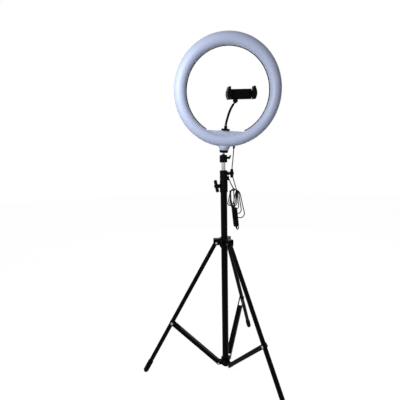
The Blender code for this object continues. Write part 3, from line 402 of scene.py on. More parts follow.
def shade(tree, place, colour, size_mm, spread):
    """A colour that wanders a little lighter and darker over patches of this size."""
    patches = add_node(tree, "ShaderNodeTexNoise", {"Scale": per_metre(size_mm), "Detail": PATCH_DETAIL},
                       {"Vector": place})
    ramp = add_node(tree, "ShaderNodeValToRGB", links={"Fac": patches.outputs["Fac"]})
    for stop, factor, at in zip(ramp.color_ramp.elements, (1.0 - spread, 1.0 + spread), NOISE_RANGE):
        stop.position = at
        stop.color = (*[min(1.0, c * factor) for c in colour], 1.0)
    return patches.outputs["Fac"], ramp.outputs["Color"]


def roughen(tree, shader, patches, low, high):
    """Let the gloss wander between two roughness values."""
    start, end = NOISE_RANGE
    spread = add_node(tree, "ShaderNodeMapRange",
                      {"From Min": start, "From Max": end, "To Min": low, "To Max": high},
                      {"Value": patches})
    tree.links.new(spread.outputs["Result"], shader.inputs["Roughness"])


def grain(tree, shader, place, size_mm, height_mm, stretch=(1.0, 1.0, 1.0)):
    """A fine surface grain of this size and height."""
    spaced = add_node(tree, "ShaderNodeMapping", {"Scale": stretch}, {"Vector": place})
    noise = add_node(tree, "ShaderNodeTexNoise", {"Scale": per_metre(size_mm), "Detail": GRAIN_DETAIL},
                     {"Vector": spaced.outputs["Vector"]})
    bump = add_node(tree, "ShaderNodeBump", {"Strength": GRAIN_STRENGTH, "Distance": height_mm * MM},
                    {"Height": noise.outputs["Fac"]})
    tree.links.new(bump.outputs["Normal"], shader.inputs["Normal"])


def make_finish(name, colour, patch, gloss, fine=None, values=None):
    """A material from its colour, patches (size in mm, spread), roughness range, fine grain and values."""
    tree, shader, place = start_finish(name)
    patches, patched = shade(tree, place, colour, *patch)
    tree.links.new(patched, shader.inputs["Base Color"])
    for socket, value in (values or {}).items():
        shader.inputs[socket].default_value = value
    roughen(tree, shader, patches, *gloss)
    if fine:
        grain(tree, shader, place, *fine)
    return tree, shader


def powder_coated_steel(colours):
    """Baked powder coat: satin black with a soft, faint orange peel of 1.6 mm."""
    make_finish("powder_coated_steel", colours.powder_coat, patch=(26.0, 0.18), gloss=(0.3, 0.42),
                fine=(1.6, 0.003), values={"IOR": 1.5, "Specular IOR Level": 0.03})


def moulded_black_abs(colours):
    """Moulded ABS from a spark-eroded tool: an even, dull black with a fine grain."""
    make_finish("moulded_black_abs", colours.black_abs, patch=(12.0, 0.2), gloss=(0.4, 0.55),
                fine=(0.8, 0.003), values={"IOR": 1.53, "Specular IOR Level": 0.03})


def moulded_rubber(colours):
    """Moulded rubber: matt black with a dusty bloom in patches."""
    make_finish("moulded_rubber", colours.rubber, patch=(7.0, 0.3), gloss=(0.62, 0.8),
                fine=(0.6, 0.006), values={"IOR": 1.52, "Specular IOR Level": 0.04})


def extruded_pvc(colours):
    """Extruded PVC jacket: a half glossy black with a faint, fine grain."""
    make_finish("extruded_pvc", colours.cord, patch=(5.0, 0.2), gloss=(0.34, 0.48),
                fine=(1.1, 0.004), values={"IOR": 1.53, "Specular IOR Level": 0.06})


def milky_polycarbonate(colours):
    """Moulded milky polycarbonate: matt lavender white, softly shaded because light sinks into it."""
    make_finish("milky_polycarbonate", colours.milky, patch=(60.0, 0.015), gloss=(0.36, 0.42),
                fine=(1.2, 0.001),
                values={"IOR": 1.58, "Specular IOR Level": 0.35, "Subsurface Weight": 0.12,
                        "Subsurface Radius": (1.0, 1.0, 1.2), "Subsurface Scale": 3.0 * MM})


def moulded_white_abs(colours):
    """Moulded white ABS: pale cool grey, satin, with a very fine grain."""
    make_finish("moulded_white_abs", colours.white_abs, patch=(30.0, 0.03), gloss=(0.34, 0.44),
                fine=(1.0, 0.002), values={"IOR": 1.53, "Specular IOR Level": 0.4})


def drawn_bright_steel(colours):
    """Drawn, plated steel: bright, with faint lines along the tube, drawn at 0.9 mm so that they show."""
    make_finish("drawn_bright_steel", colours.steel, patch=(9.0, 0.06), gloss=(0.2, 0.32),
                fine=(0.9, 0.004, (1.0, 1.0, 0.06)), values={"Metallic": 1.0})


def printed_circuit_board(colours):
    """White solder resist over glass cloth: off-white, slightly mottled, with a fine grain."""
    make_finish("printed_circuit_board", colours.board, patch=(4.0, 0.05), gloss=(0.35, 0.5),
                fine=(0.5, 0.02), values={"IOR": 1.55})


FINISH_MAKERS = (powder_coated_steel, moulded_black_abs, moulded_rubber, extruded_pvc, milky_polycarbonate,
                 moulded_white_abs, drawn_bright_steel, printed_circuit_board)

# Which finish each CAD piece wears, by the start of its name
CAD_FINISHES = {
    "powder_coated_steel": ("lower_tube", "mid_tube", "leg_1", "leg_2", "leg_3", "brace_", "ball_housing",
                            "clamp_ball"),
    # The CAD's black inner_rim is painted shade: a dark band for the shell's shadowed inner edge
    "moulded_black_abs": ("column_end_plug", "spreader_collar", "leg_hub", "lower_collar", "upper_collar",
                          "hub_knob", "lower_knob", "upper_knob", "top_guide", "ball_lever",
                          "platform_disc", "inner_rim", "holder_base", "clamp_body", "sliding_jaw",
                          "controller_", "usb_plug"),
    "moulded_rubber": ("foot_", "cable_gland", "gooseneck_", "fixed_pad", "jaw_pad", "button_", "cord_"),
    "drawn_bright_steel": ("spreader_pin", "hub_pin", "top_tube", "mount_stud", "ball_stem", "neck_bush",
                           "clamp_spring", "usb_shell"),
    "moulded_white_abs": ("back_shell",),
    "milky_polycarbonate": ("diffuser",),
    "printed_circuit_board": ("led_board",),
}


def finish(name):
    """A finish by name."""
    return bpy.data.materials[name]


def keep_piece(name, bm, look, body, stands_for=()):
    """Store a mesh as a piece that rides a body, or is left free when body is None."""
    bmesh.ops.recalc_face_normals(bm, faces=bm.faces)
    mesh = bpy.data.meshes.new(name)
    bm.to_mesh(mesh)
    bm.free()
    mesh.materials.append(finish(look))
    mesh.shade_smooth()
    mesh.set_sharp_from_angle(angle=SHARP_EDGE)
    piece = bpy.data.objects.new(name, mesh)
    bpy.context.scene.collection.objects.link(piece)
    if body:
        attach(piece, body)
    if stands_for:
        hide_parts(*stands_for)
    return piece


def circle_angles(count):
    """Evenly spaced angles around a full turn."""
    return [2 * math.pi * i / count for i in range(count)]


def turned(profile, segments, place, bm=None):
    """Turn a closed (radius, height) outline about Z and put it in place; a radius of 0 is a pole."""
    bm = bm or bmesh.new()
    rings = []
    for radius, height in profile:
        angles = [0.0] if radius < POLE_R else circle_angles(segments)
        rings.append([bm.verts.new(place @ Vector((radius * math.cos(a), radius * math.sin(a), height)))
                      for a in angles])
    for lower, upper in zip(rings, rings[1:] + rings[:1]):
        if len(lower) == 1 and len(upper) == 1:
            continue
        for i in range(segments):
            j = (i + 1) % segments
            corners = [lower[i % len(lower)], lower[j % len(lower)],
                       upper[j % len(upper)], upper[i % len(upper)]]
            bm.faces.new(list(dict.fromkeys(corners)))
    return bm


def rounded_bar(low, high, edge, place, bm):
    """Add a bar between two corners to a mesh, with rounded edges and put in place."""
    made = bmesh.ops.create_cube(bm, size=1.0)["verts"]
    size = [h - l for l, h in zip(low, high)]
    middle = [(h + l) / 2 for l, h in zip(low, high)]
    bmesh.ops.transform(bm, matrix=Matrix.Translation(middle) @ Matrix.Diagonal((*size, 1.0)), verts=made)
    edges = list({e for v in made for e in v.link_edges})
    bevelled = bmesh.ops.bevel(bm, geom=edges, offset=edge, segments=BAR_EDGE_STEPS, profile=0.5,
                               affect="EDGES")
    moved = {v for f in bevelled["faces"] for v in f.verts} | {v for v in made if v.is_valid}
    bmesh.ops.transform(bm, matrix=place, verts=list(moved))


def skin(bm, rings):
    """Close the first and the last ring of corners and join the rings one after another."""
    bm.faces.new(rings[0])
    bm.faces.new(rings[-1])
    count = len(rings[0])
    for near, far in zip(rings, rings[1:]):
        for k in range(count):
            n = (k + 1) % count
            bm.faces.new((near[k], near[n], far[n], far[k]))


def hose(points, radii, sides):
    """A round hose through points in metres, its ends closed and its frame carried without twist."""
    bm = bmesh.new()
    side = None
    rings = []
    for i, point in enumerate(points):
        ahead = points[min(i + 1, len(points) - 1)]
        behind = points[max(i - 1, 0)]
        along = (ahead - behind).normalized()
        side = side or along.orthogonal()
        side = (side - along * side.dot(along)).normalized()
        other = along.cross(side)
        rings.append([bm.verts.new(point + (side * math.cos(a) + other * math.sin(a)) * radii[i])
                      for a in circle_angles(sides)])
    skin(bm, rings)
    return bm


def cord_hose(points, radius, sides):
    """A hose of one radius, in metres."""
    return hose(points, [radius] * len(points), sides)


def smooth_route(points, step):
    """Evenly spaced points on a smooth curve through the route points."""
    knots = [Vector(p) for p in points]
    ends = [2 * knots[0] - knots[1]] + knots + [2 * knots[-1] - knots[-2]]
    dense = []
    for a, b, c, d in zip(ends, ends[1:], ends[2:], ends[3:]):
        for i in range(ROUTE_DENSITY):
            t = i / ROUTE_DENSITY
            term = (2 * b) + (c - a) * t + (2 * a - 5 * b + 4 * c - d) * t ** 2
            dense.append((term + (3 * b - a - 3 * c + d) * t ** 3) / 2)
    dense.append(knots[-1])
    lengths = [0.0]
    for a, b in zip(dense, dense[1:]):
        lengths.append(lengths[-1] + (b - a).length)
    count = max(3, round(lengths[-1] / step))
    even = []
    j = 0
    for i in range(count + 1):
        want = lengths[-1] * i / count
        while j < len(dense) - 2 and lengths[j + 1] < want:
            j += 1
        part = (want - lengths[j]) / max(1e-9, lengths[j + 1] - lengths[j])
        even.append(dense[j].lerp(dense[j + 1], part))
    return even


def seen(x, y, z):
    """A place given as the camera sees the stand, turned into the part's frame."""
    return Matrix.Rotation(VIEW_TURN, 3, "Z") @ Vector((x, y, z))


CASE = (Matrix.Translation(seen(*CONTROLLER)) @ Matrix.Rotation(VIEW_TURN, 4, "Z")
        @ Matrix.Rotation(-CONTROLLER_TILT, 4, "Y"))


def on_stand(points):
    """Points in millimetres from the stand's axis, as metres in the part's frame."""
    return [STAND @ p for p in points]


def run_length(points):
    """The length of a line of points."""
    return sum((b - a).length for a, b in zip(points, points[1:]))


def hank_point(turn_at):
    """A point on the hank: oval turns hung from one neck, the later ones wider and further right."""
    part = turn_at - int(turn_at)
    past = (turn_at - HANK_MIDDLE) / HANK_MIDDLE
    grow = max(0.0, past)
    half = HANK_HALF + HANK_WIDEN * grow
    side = HANK_SIDE + HANK_LENGTHEN * grow
    foot = HANK_X + HANK_FAN * past * abs(past) ** HANK_FAN_POWER
    bow = math.pi * half
    at = part * (2 * bow + 2 * side) - bow / 2
    if at < 0:
        x, z = half * math.sin(at / half + math.pi / 2), half * math.cos(at / half + math.pi / 2)
    elif at < side:
        x, z = half, -at
    elif at < side + bow:
        angle = (at - side) / half
        x, z = half * math.cos(angle), -side - half * math.sin(angle)
    elif at < 2 * side + bow:
        x, z = -half, at - 2 * side - bow
    else:
        angle = (at - 2 * side - bow) / half
        x, z = -half * math.cos(angle), half * math.sin(angle)
    below = (half - z) / (side + 2 * half)
    middle = HANK_X + (foot - HANK_X) * below
    return seen(middle + x, HANK_Y + HANK_PITCH * turn_at, HANK_TOP_Z - half + z)


def hank_turns():
    """The hank's points, from where the drop comes in to where the link goes out."""
    count = HANK_TURNS * HANK_TURN_POINTS
    first = round(count * HANK_BEGIN)
    last = round(count * HANK_END)
    return [hank_point(i / HANK_TURN_POINTS) for i in range(first, last + 1)]


def tail_route():
    """The tail: out of the case's foot, round a half turn and up into the plug."""
    foot_z = CASE_INSET - CONTROLLER_HALF[2]
    tail = [(0, 0, foot_z), (0, 0, foot_z - TAIL_START)]
    for step in range(TAIL_BEND_STEPS + 1):
        angle = math.pi * step / TAIL_BEND_STEPS
        across = TAIL_BEND_R * (1 - math.cos(angle))
        tail.append((TAIL_WAY[0] * across, TAIL_WAY[1] * across,
                     foot_z - TAIL_DROP - TAIL_BEND_R * math.sin(angle)))
    tail += [(PLUG[0], PLUG[1], PLUG[2] - PLUG_LEAD), (PLUG[0], PLUG[1], PLUG[2] - GAP)]
    return smooth_route([CASE @ Vector(p) for p in tail], HANK_STEP)


def lead_routes():
    """The lead's centrelines: drop, hank with its link, and tail; and the way down the controller."""
    gland_z = RING_Z - math.sqrt(RING_OUT_R ** 2 - GLAND[0] ** 2) - BALL_Z
    gland_end = Vector((GLAND[0], GLAND[1] + RING_Y, gland_z - GLAND_LENGTH - GAP))
    start = HEAD_POSE @ gland_end + Vector((0, 0, BALL_Z))
    coarse = hank_turns()
    inward = (coarse[0] - coarse[1]).normalized()
    hank_in = coarse[0] + inward * GAP
    drop = smooth_route([start, start + HEAD_POSE @ Vector((0, 0, -LEAD_IN)),
                         *[seen(*spot) for spot in DROP_SPOTS],
                         hank_in + inward * LEAD_IN, hank_in], DROP_STEP)
    down = seen(math.sin(CONTROLLER_TILT), 0, -math.cos(CONTROLLER_TILT))
    case_top = seen(*CONTROLLER) - down * (CONTROLLER_HALF[2] - CASE_INSET)
    rise = (coarse[-1] - coarse[-2]).normalized()
    hank_out = coarse[-1] + rise * GAP
    link = smooth_route([hank_out, hank_out + rise * LINK_START,
                         *[seen(*spot) for spot in LINK_SPOTS],
                         case_top - down * LEAD_IN, case_top], DROP_STEP)
    hank = smooth_route(coarse, HANK_STEP) + link
    return drop, hank, tail_route(), down


class RINGLIGHT_OT_stage(Operator):
    """Camera at the photo's angle, pale floor, white surroundings and soft lights"""

    bl_idname = "ring_light.stage"
    bl_label = "Stage"

    def execute(self, context):
        scene = context.scene
        stage = scene.ring_light_stage
        scene.view_settings.view_transform = "Standard"
        self.aim_camera(scene)
        self.lay_floor(scene, stage)
        self.surround(scene, stage)
        self.hang_lamps(scene, stage)
        return {"FINISHED"}

    @staticmethod
    def aim_camera(scene):
        """The camera, turned by its yaw, pitch and roll."""
        level = Vector((math.cos(CAMERA_YAW), math.sin(CAMERA_YAW), 0))
        reach = math.cos(CAMERA_PITCH)
        ahead = Vector((-reach * math.sin(CAMERA_YAW), reach * math.cos(CAMERA_YAW),
                        -math.sin(CAMERA_PITCH)))
        above = level.cross(ahead)
        across = level * math.cos(CAMERA_ROLL) - above * math.sin(CAMERA_ROLL)
        upward = level * math.sin(CAMERA_ROLL) + above * math.cos(CAMERA_ROLL)
        lens = bpy.data.cameras.new("camera")
        lens.sensor_width = CAMERA_SENSOR
        lens.lens = CAMERA_LENS
        camera = bpy.data.objects.new("camera", lens)
        scene.collection.objects.link(camera)
        turn = Matrix((across, upward, -ahead)).transposed().to_4x4()
        camera.matrix_world = Matrix.Translation(COLUMN + CAMERA_AT) @ turn
        scene.camera = camera

    def lay_floor(self, scene, stage):
        """A round sheet of paper just under the feet."""
        bm = bmesh.new()
        bmesh.ops.create_circle(bm, cap_ends=True, segments=FLOOR_SIDES, radius=stage.floor_radius)
        mesh = bpy.data.meshes.new("floor")
        bm.to_mesh(mesh)
        bm.free()
        floor = bpy.data.objects.new("floor", mesh)
        floor.location = (0, 0, FLOOR_Z)
        scene.collection.objects.link(floor)
        mesh.materials.append(self.floor_paper(stage))

    def floor_paper(self, stage):
        """Matt studio paper: white to the camera, with a soft part of the shadow kept. It is no lamp."""
        tree, shader = make_finish("matt_studio_paper", stage.floor_colour, patch=(400.0, 0.01),
                                   gloss=(0.85, 0.95), values={"Specular IOR Level": 0.1})
        white = add_node(tree, "ShaderNodeEmission", {"Color": (1, 1, 1, 1), "Strength": FLOOR_WHITE})
        share = add_node(tree, "ShaderNodeMath", {1: FLOOR_WHITE_SHARE}, {0: self.seen_white(tree)},
                         operation="MULTIPLY")
        mixed = add_node(tree, "ShaderNodeMixShader", links={
            0: share.outputs["Value"], 1: shader.outputs["BSDF"], 2: white.outputs["Emission"]})
        out = next(n for n in tree.nodes if n.bl_idname == "ShaderNodeOutputMaterial")
        tree.links.new(mixed.outputs["Shader"], out.inputs["Surface"])
        paper = finish("matt_studio_paper")
        paper.cycles.emission_sampling = "NONE"
        return paper

    def surround(self, scene, stage):
        """White surroundings that light the part only a little."""
        world = bpy.data.worlds.new("white surroundings")
        scene.world = world
        world.use_nodes = True
        world.cycles.sampling_method = "NONE"
        tree = world.node_tree
        tree.nodes.clear()
        strength = add_node(tree, "ShaderNodeMapRange", {"To Min": stage.ambient, "To Max": 1.0},
                            {"Value": self.seen_white(tree)})
        sky = add_node(tree, "ShaderNodeBackground", {"Color": (1, 1, 1, 1)},
                       {"Strength": strength.outputs["Result"]})
        add_node(tree, "ShaderNodeOutputWorld", links={"Surface": sky.outputs["Background"]})

    @staticmethod
    def seen_white(tree):
        """1 for the rays that show the surroundings, in the picture, in gloss or through glass."""
        path = add_node(tree, "ShaderNodeLightPath").outputs
        either = add_node(tree, "ShaderNodeMath",
                          links={0: path["Is Camera Ray"], 1: path["Is Glossy Ray"]}, operation="MAXIMUM")
        every = add_node(tree, "ShaderNodeMath",
                         links={0: either.outputs["Value"], 1: path["Is Transmission Ray"]},
                         operation="MAXIMUM")
        return every.outputs["Value"]

    @staticmethod
    def hang_lamps(scene, stage):
        """Soft square lamps, all aimed at the part."""
        for name, setting, size, at in LAMPS:
            lamp = bpy.data.lights.new(name, "AREA")
            lamp.energy = getattr(stage, setting)
            lamp.size = size
            lamp_object = bpy.data.objects.new(name, lamp)
            lamp_object.location = at
            lamp_object.rotation_euler = (LAMP_TARGET - Vector(at)).to_track_quat("-Z", "Y").to_euler()
            scene.collection.objects.link(lamp_object)


def crisp_shading():
    """A modifier group that joins the CAD facets' corners, smooths curved faces and keeps sharp edges."""
    group = bpy.data.node_groups.new("crisp_shading", "GeometryNodeTree")
    for way in ("INPUT", "OUTPUT"):
        group.interface.new_socket("Mesh", in_out=way, socket_type="NodeSocketGeometry")
    entry = add_node(group, "NodeGroupInput")
    joined = add_node(group, "GeometryNodeMergeByDistance", {"Distance": JOIN_REACH},
                      {"Geometry": entry.outputs["Mesh"]})
    soft = add_node(group, "GeometryNodeSetShadeSmooth", {"Shade Smooth": True},
                    {"Geometry": joined.outputs["Geometry"]}, domain="FACE")
    fold = add_node(group, "GeometryNodeInputMeshEdgeAngle")
    sharp = add_node(group, "FunctionNodeCompare", {"B": SHARP_EDGE}, {"A": fold.outputs["Unsigned Angle"]},
                     operation="GREATER_THAN")
    crisp = add_node(group, "GeometryNodeSetShadeSmooth", {"Shade Smooth": False},
                     {"Geometry": soft.outputs["Geometry"], "Selection": sharp.outputs["Result"]},
                     domain="EDGE")
    add_node(group, "NodeGroupOutput", links={"Mesh": crisp.outputs["Geometry"]})
    return group


class RINGLIGHT_OT_finishes(Operator):
    """Make the finishes and put them on the CAD pieces, with smooth curves and crisp edges"""

    bl_idname = "ring_light.finishes"
    bl_label = "Finishes"

    def execute(self, context):
        colours = context.scene.ring_light_colours
        for make in FINISH_MAKERS:
            make(colours)
        smooth = crisp_shading()
        for name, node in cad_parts.items():
            found = [look for look, starts in CAD_FINISHES.items() if name.startswith(starts)]
            if not found:
                raise RuntimeError(f"no finish is given for {name}")
            node.data.materials.clear()
            node.data.materials.append(finish(found[0]))
            if "custom_normal" in node.data.attributes:
                node.data.attributes.remove(node.data.attributes["custom_normal"])
            node.modifiers.new("crisp_shading", "NODES").node_group = smooth
        return {"FINISHED"}


class RINGLIGHT_OT_lead(Operator):
    """The lead: the drop in three stretches, the hank with its link, the tail and the strain reliefs"""

    bl_idname = "ring_light.lead"
    bl_label = "Lead"

    def execute(self, context):
        sizes = context.scene.ring_light_sizes
        radius = sizes.cord_diameter / 2
        *routes, down = lead_routes()
        drop, hank, tail = [on_stand(route) for route in routes]

        cuts = [0]
        for want in DROP_CUTS:
            cuts.append(next(i for i in range(len(drop)) if run_length(drop[:i + 1]) >= want))
        cuts.append(len(drop) - 1)
        carried = (("ring_head", "ball_base"), ("ball_base", "top_section"), ("top_section", "mid_section"))
        for number, (near, far) in enumerate(carried, 1):
            line = drop[cuts[number - 1]:cuts[number] + 1]
            stretch = keep_piece(f"lead_drop_{number}", cord_hose(line, radius, DROP_SIDES),
                                 "extruded_pvc", None)
            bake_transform(stretch)
            if number == 1:
                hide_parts("cord_drop")

        looped = keep_piece("lead_hank", cord_hose(hank, radius, HANK_SIDES), "extruded_pvc", "mid_section",
                            ("cord_hank", "cord_link"))
        ended = keep_piece("lead_tail", cord_hose(tail, radius, HANK_SIDES), "extruded_pvc", "mid_section",
                           ("cord_tail",))
        top = self.relief("controller_relief_top", hank[-1] - down * CASE_INSET * MM, -down)
        foot = self.relief("controller_relief_foot", tail[0] + down * CASE_INSET * MM, down)
        plug = self.relief("plug_relief", tail[-1] - down * GAP * MM, down)
        return {"FINISHED"}

    @staticmethod
    def relief(name, at, along):
        """A ribbed sleeve where the cord enters a case."""
        place = (Matrix.Translation(at) @ along.to_track_quat("Z", "Y").to_matrix().to_4x4()
                 @ Matrix.Scale(MM, 4))
        sleeve = keep_piece(name, turned(RELIEF_OUTLINE, SMALL_SIDES, place), "moulded_rubber",
                            "mid_section")
        return sleeve


class RINGLIGHT_OT_tie(Operator):
    """The tie that hangs the hank on the collar's ear, with its knot"""

    bl_idname = "ring_light.tie"
    bl_label = "Tie"

    def execute(self, context):
        line = on_stand(smooth_route([seen(*spot) for spot in TIE_SPOTS], HANK_STEP))
        tie = keep_piece("hank_tie", cord_hose(line, TIE_R * MM, TIE_SIDES), "extruded_pvc", "mid_section",
                         ("cord_tie",))
        bm = bmesh.new()
        loop = [(KNOT_R + KNOT_LINE_R * math.cos(a), KNOT_LINE_R * math.sin(a))
                for a in circle_angles(TIE_SIDES)]
        for lean in KNOT_LEANS:
            place = (STAND @ Matrix.Translation(seen(*KNOT_AT))
                     @ Matrix.Rotation(lean, 4, "Y") @ Matrix.Rotation(lean * KNOT_TWIST, 4, "X"))
            turned(loop, SMALL_SIDES, place, bm)
        knot = keep_piece("hank_tie_knot", bm, "extruded_pvc", "mid_section")
        return {"FINISHED"}


class RINGLIGHT_OT_diffuser(Operator):
    """The milky diffuser as one smooth dome over the ring's front"""

    bl_idname = "ring_light.diffuser"
    bl_label = "Diffuser"

    def execute(self, context):
        steps = context.scene.ring_light_sizes.diffuser_steps
        outline = self.limb(LIMB_HALF - FACET_SAG, DIFFUSER_DEPTH, DOME_OUT_STEPS)
        outline += self.limb(LIMB_HALF - DIFFUSER_WALL, DIFFUSER_DEPTH - DIFFUSER_WALL, DOME_IN_STEPS)[::-1]
        place = RING @ Matrix.Translation((0, -GAP, 0)) @ Matrix.Rotation(math.radians(90), 4, "X")
        dome = keep_piece("milky_dome", turned(outline, steps, place), "milky_polycarbonate", "ring_head",
                          ("diffuser",))
        return {"FINISHED"}

    @staticmethod
    def limb(half_width, depth, count):
        """Half an oval across the ring's limb, from its outside to its inside."""
        angles = [math.pi * i / count for i in range(count + 1)]
        return [(LIMB_MIDDLE + half_width * math.cos(a), depth * math.sin(a)) for a in angles]


class RINGLIGHT_OT_painted_shade_rim(Operator):
    """Painted shade inside the hole: one smooth dark band with a bead at its front for the shell's shadowed
    inner edge, open at the platform
    """

    bl_idname = "ring_light.inner_rim"
    bl_label = "Inner rim"

    def execute(self, context):
        steps = context.scene.ring_light_sizes.diffuser_steps
        outside = RING_IN_R - GAP
        inside = outside - RIM_THICK
        turns = [math.pi * k / RIM_BEAD_STEPS for k in range(RIM_BEAD_STEPS + 1)]
        section = [(inside - RIM_BEAD_R * math.sin(t), GAP + RIM_BEAD_R * (1 + math.cos(t))) for t in turns]
        section += [(outside, GAP), (outside, RIM_DEPTH), (inside, RIM_DEPTH)]
        bm = bmesh.new()
        rings = []
        for i in range(steps + 1):
            angle = RIM_END - math.pi / 2 + 2 * (math.pi - RIM_END) * i / steps
            rings.append([bm.verts.new(RING @ Vector((r * math.cos(angle), y, r * math.sin(angle))))
                          for r, y in section])
        skin(bm, rings)
        # The dark band paints the shade on the shell's inner edge
        rim = keep_piece("inner_rim_band", bm, "moulded_black_abs", "ring_head", ("inner_rim",))
        return {"FINISHED"}


class RINGLIGHT_OT_shell_screws(Operator):
    """Cross-head screws around the ring's back"""

    bl_idname = "ring_light.shell_screws"
    bl_label = "Shell screws"

    def execute(self, context):
        sizes = context.scene.ring_light_sizes
        radius = sizes.screw_diameter / 2 / MM
        head = [(radius * share, height) for share, height in SCREW_OUTLINE]
        reach = radius * CROSS_REACH
        seat = SHELL_DEPTH - SCREW_SINK
        bm = bmesh.new()
        for i in range(sizes.shell_screws):
            angle = math.radians(90) + 2 * math.pi * (i + 0.5) / sizes.shell_screws
            at = Vector((LIMB_MIDDLE * math.cos(angle), seat, LIMB_MIDDLE * math.sin(angle)))
            place = RING @ Matrix.Translation(at) @ Matrix.Rotation(math.radians(-90), 4, "X")
            turned(head, SMALL_SIDES, place, bm)
            for turn in (0, math.pi / 2):
                cross = place @ Matrix.Rotation(turn + angle, 4, "Z")
                rounded_bar((-reach, -CROSS_HALF, CROSS_HEIGHTS[0]), (reach, CROSS_HALF, CROSS_HEIGHTS[1]),
                            CROSS_EDGE, cross, bm)
        screws = keep_piece("shell_screws", bm, "drawn_bright_steel", "ring_head")
        return {"FINISHED"}


class RINGLIGHT_OT_gooseneck(Operator):
    """The ribbed gooseneck, bending between its base and its upper end"""

    bl_idname = "ring_light.gooseneck"
    bl_label = "Gooseneck"

    def execute(self, context):
        sizes = context.scene.ring_light_sizes
        pitch = sizes.rib_pitch / MM
        line = smooth_route([(x, 0, z) for x, z in GOOSE_ROUTE], pitch / GOOSE_RIB_STEPS)
        radii = []
        for i in range(len(line)):
            wave = 0.5 + 0.5 * math.cos(2 * math.pi * i / GOOSE_RIB_STEPS)
            radii.append(GOOSE_R * MM - sizes.rib_height * (1 - wave ** GOOSE_RIB_ROUND))
        points = [HOLDER @ p for p in line]
        neck = keep_piece("ribbed_gooseneck", hose(points, radii, GOOSE_SIDES), "moulded_rubber", None)
        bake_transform(neck)
        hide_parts("gooseneck_lower", "gooseneck_upper")
        return {"FINISHED"}


class RINGLIGHT_OT_brace_rivets(Operator):
    """Domed rivets where each brace meets its leg"""

    bl_idname = "ring_light.brace_rivets"
    bl_label = "Brace rivets"

    def execute(self, context):
        sizes = context.scene.ring_light_sizes
        radius = sizes.rivet_diameter / 2 / MM
        height = sizes.rivet_height / MM
        rises = [math.radians(a) for a in range(0, 90, RIVET_DOME_DEGREES)]
        dome = [(radius * math.cos(a), height * math.sin(a)) for a in rises]
        shank = [(0, -RIVET_SHANK), (RIVET_SHANK_R, -RIVET_SHANK), (RIVET_SHANK_R, 0)]
        head = shank + [(radius, 0)] + dome[1:] + [(0, height)]
        for number, degrees in enumerate(LEG_AZIMUTHS, 1):
            bm = bmesh.new()
            spin = Matrix.Rotation(math.radians(degrees), 4, "Z")
            for way in (1, -1):
                at = Matrix.Translation((BRACE_JOINT[0], way * BRACE_HALF, BRACE_JOINT[1]))
                place = STAND @ spin @ at @ Matrix.Rotation(-way * math.pi / 2, 4, "X")
                turned(head, SMALL_SIDES, place, bm)
            rivet = keep_piece(f"brace_rivet_{number}", bm, "drawn_bright_steel", f"brace_{number}")
        return {"FINISHED"}


class RINGLIGHT_OT_foot_rings(Operator):
    """Raised rings around each rubber foot"""

    bl_idname = "ring_light.foot_rings"
    bl_label = "Foot rings"

    def execute(self, context):
        for number, degrees in enumerate(LEG_AZIMUTHS, 1):
            bm = bmesh.new()
            place = (STAND @ Matrix.Rotation(math.radians(degrees), 4, "Z")
                     @ Matrix.Translation((HUB_PIVOT[0], 0, HUB_PIVOT[1]))
                     @ Matrix.Rotation(-LEG_ANGLE, 4, "Y"))
            for k in range(FOOT_RINGS):
                z = FOOT_RING_FIRST + FOOT_RING_PITCH * k - FOOT_TURN
                outline = [(FOOT_CAP_R + out, z + along) for out, along in FOOT_RING_OUTLINE]
                turned(outline, FOOT_SIDES, place, bm)
            rings = keep_piece(f"foot_rings_{number}", bm, "moulded_rubber", f"leg_{number}")
        return {"FINISHED"}


class RINGLIGHT_OT_clamp_ribs(Operator):
    """Grip ribs on the phone clamp's two pads"""

    bl_idname = "ring_light.clamp_ribs"
    bl_label = "Clamp ribs"

    def execute(self, context):
        front, back = PAD_RIB_SPAN
        for name, body, way in (("fixed_pad_ribs", "clamp", 1), ("jaw_pad_ribs", "jaw", -1)):
            face = -way * PAD_FACE
            left, right = sorted((face - way * PAD_RIB_SINK, face + way * PAD_RIB_RISE))
            bm = bmesh.new()
            for k in range(PAD_RIBS):
                z = PAD_RIB_FIRST + PAD_RIB_PITCH * k
                rounded_bar((left, front, z - PAD_RIB_HALF), (right, back, z + PAD_RIB_HALF),
                            PAD_RIB_EDGE, CLAMP, bm)
            ribs = keep_piece(name, bm, "moulded_rubber", body)
        return {"FINISHED"}


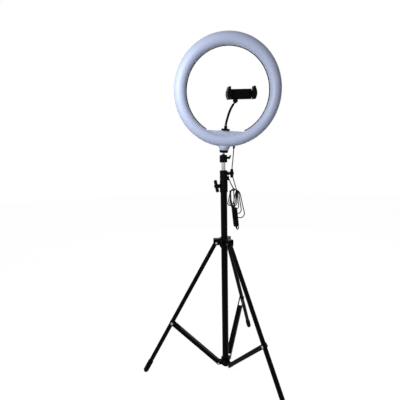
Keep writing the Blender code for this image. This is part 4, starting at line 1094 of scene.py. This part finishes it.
class RINGLIGHT_OT_button_marks(Operator):
    """Raised plus, ring and minus on the controller's three buttons"""

    bl_idname = "ring_light.button_marks"
    bl_label = "Button marks"

    def execute(self, context):
        face = -CONTROLLER_HALF[1] - BUTTON_RISE
        for number, strokes in enumerate(MARK_STROKES, 1):
            bm = bmesh.new()
            place = STAND @ CASE @ Matrix.Translation((0, face, BUTTON_PITCH * (2 - number)))
            for stroke in strokes:
                self.add_stroke(stroke, place, bm)
            mark = keep_piece(f"button_mark_{number}", bm, "moulded_rubber", f"button_{number}")
        return {"FINISHED"}

    @staticmethod
    def add_stroke(stroke, place, bm):
        """Add a ring, a bar across or an upright bar to a mark."""
        if stroke == "ring":
            inner, outer = MARK_RING
            outline = [(inner, -MARK_SINK), (outer, -MARK_SINK), (outer, MARK_RISE), (inner, MARK_RISE)]
            turned(outline, MARK_SIDES, place @ Matrix.Rotation(math.radians(90), 4, "X"), bm)
            return
        half_x, half_z = MARK_HALF, MARK_HALF_WIDTH
        if stroke == "upright":
            half_x, half_z = MARK_HALF_WIDTH, MARK_HALF
        rounded_bar((-half_x, -MARK_RISE, -half_z), (half_x, MARK_SINK, half_z), MARK_EDGE, place, bm)


STEPS = ("stage", "finishes", "lead", "tie", "diffuser", "inner_rim", "shell_screws", "gooseneck",
         "brace_rivets", "foot_rings", "clamp_ribs", "button_marks")


class RINGLIGHT_PT_panel(Panel):
    """Sizes, colours and steps of the dressing"""

    bl_idname = "RINGLIGHT_PT_panel"
    bl_label = "Ring light"
    bl_space_type = "VIEW_3D"
    bl_region_type = "UI"
    bl_category = "Ring light"

    def draw(self, context):
        for group in ("ring_light_sizes", "ring_light_colours", "ring_light_stage"):
            box = self.layout.box()
            settings = getattr(context.scene, group)
            for name in settings.__annotations__:
                box.prop(settings, name)
        for step in STEPS:
            self.layout.operator(f"ring_light.{step}")


CLASSES = (RingLightSizes, RingLightColours, RingLightStage, RINGLIGHT_OT_stage, RINGLIGHT_OT_finishes,
           RINGLIGHT_OT_lead, RINGLIGHT_OT_tie, RINGLIGHT_OT_diffuser, RINGLIGHT_OT_painted_shade_rim,
           RINGLIGHT_OT_shell_screws, RINGLIGHT_OT_gooseneck, RINGLIGHT_OT_brace_rivets,
           RINGLIGHT_OT_foot_rings, RINGLIGHT_OT_clamp_ribs, RINGLIGHT_OT_button_marks, RINGLIGHT_PT_panel)


def register():
    """Register the classes and hang the settings on the scene."""
    for cls in CLASSES:
        bpy.utils.register_class(cls)
    bpy.types.Scene.ring_light_sizes = PointerProperty(type=RingLightSizes)
    bpy.types.Scene.ring_light_colours = PointerProperty(type=RingLightColours)
    bpy.types.Scene.ring_light_stage = PointerProperty(type=RingLightStage)


def unregister():
    """Take the settings and classes off again."""
    del bpy.types.Scene.ring_light_stage
    del bpy.types.Scene.ring_light_colours
    del bpy.types.Scene.ring_light_sizes
    for cls in reversed(CLASSES):
        bpy.utils.unregister_class(cls)


def main():
    """Run every step in order."""
    register()
    for step in STEPS:
        getattr(bpy.ops.ring_light, step)()


if __name__ == "__main__":
    main()
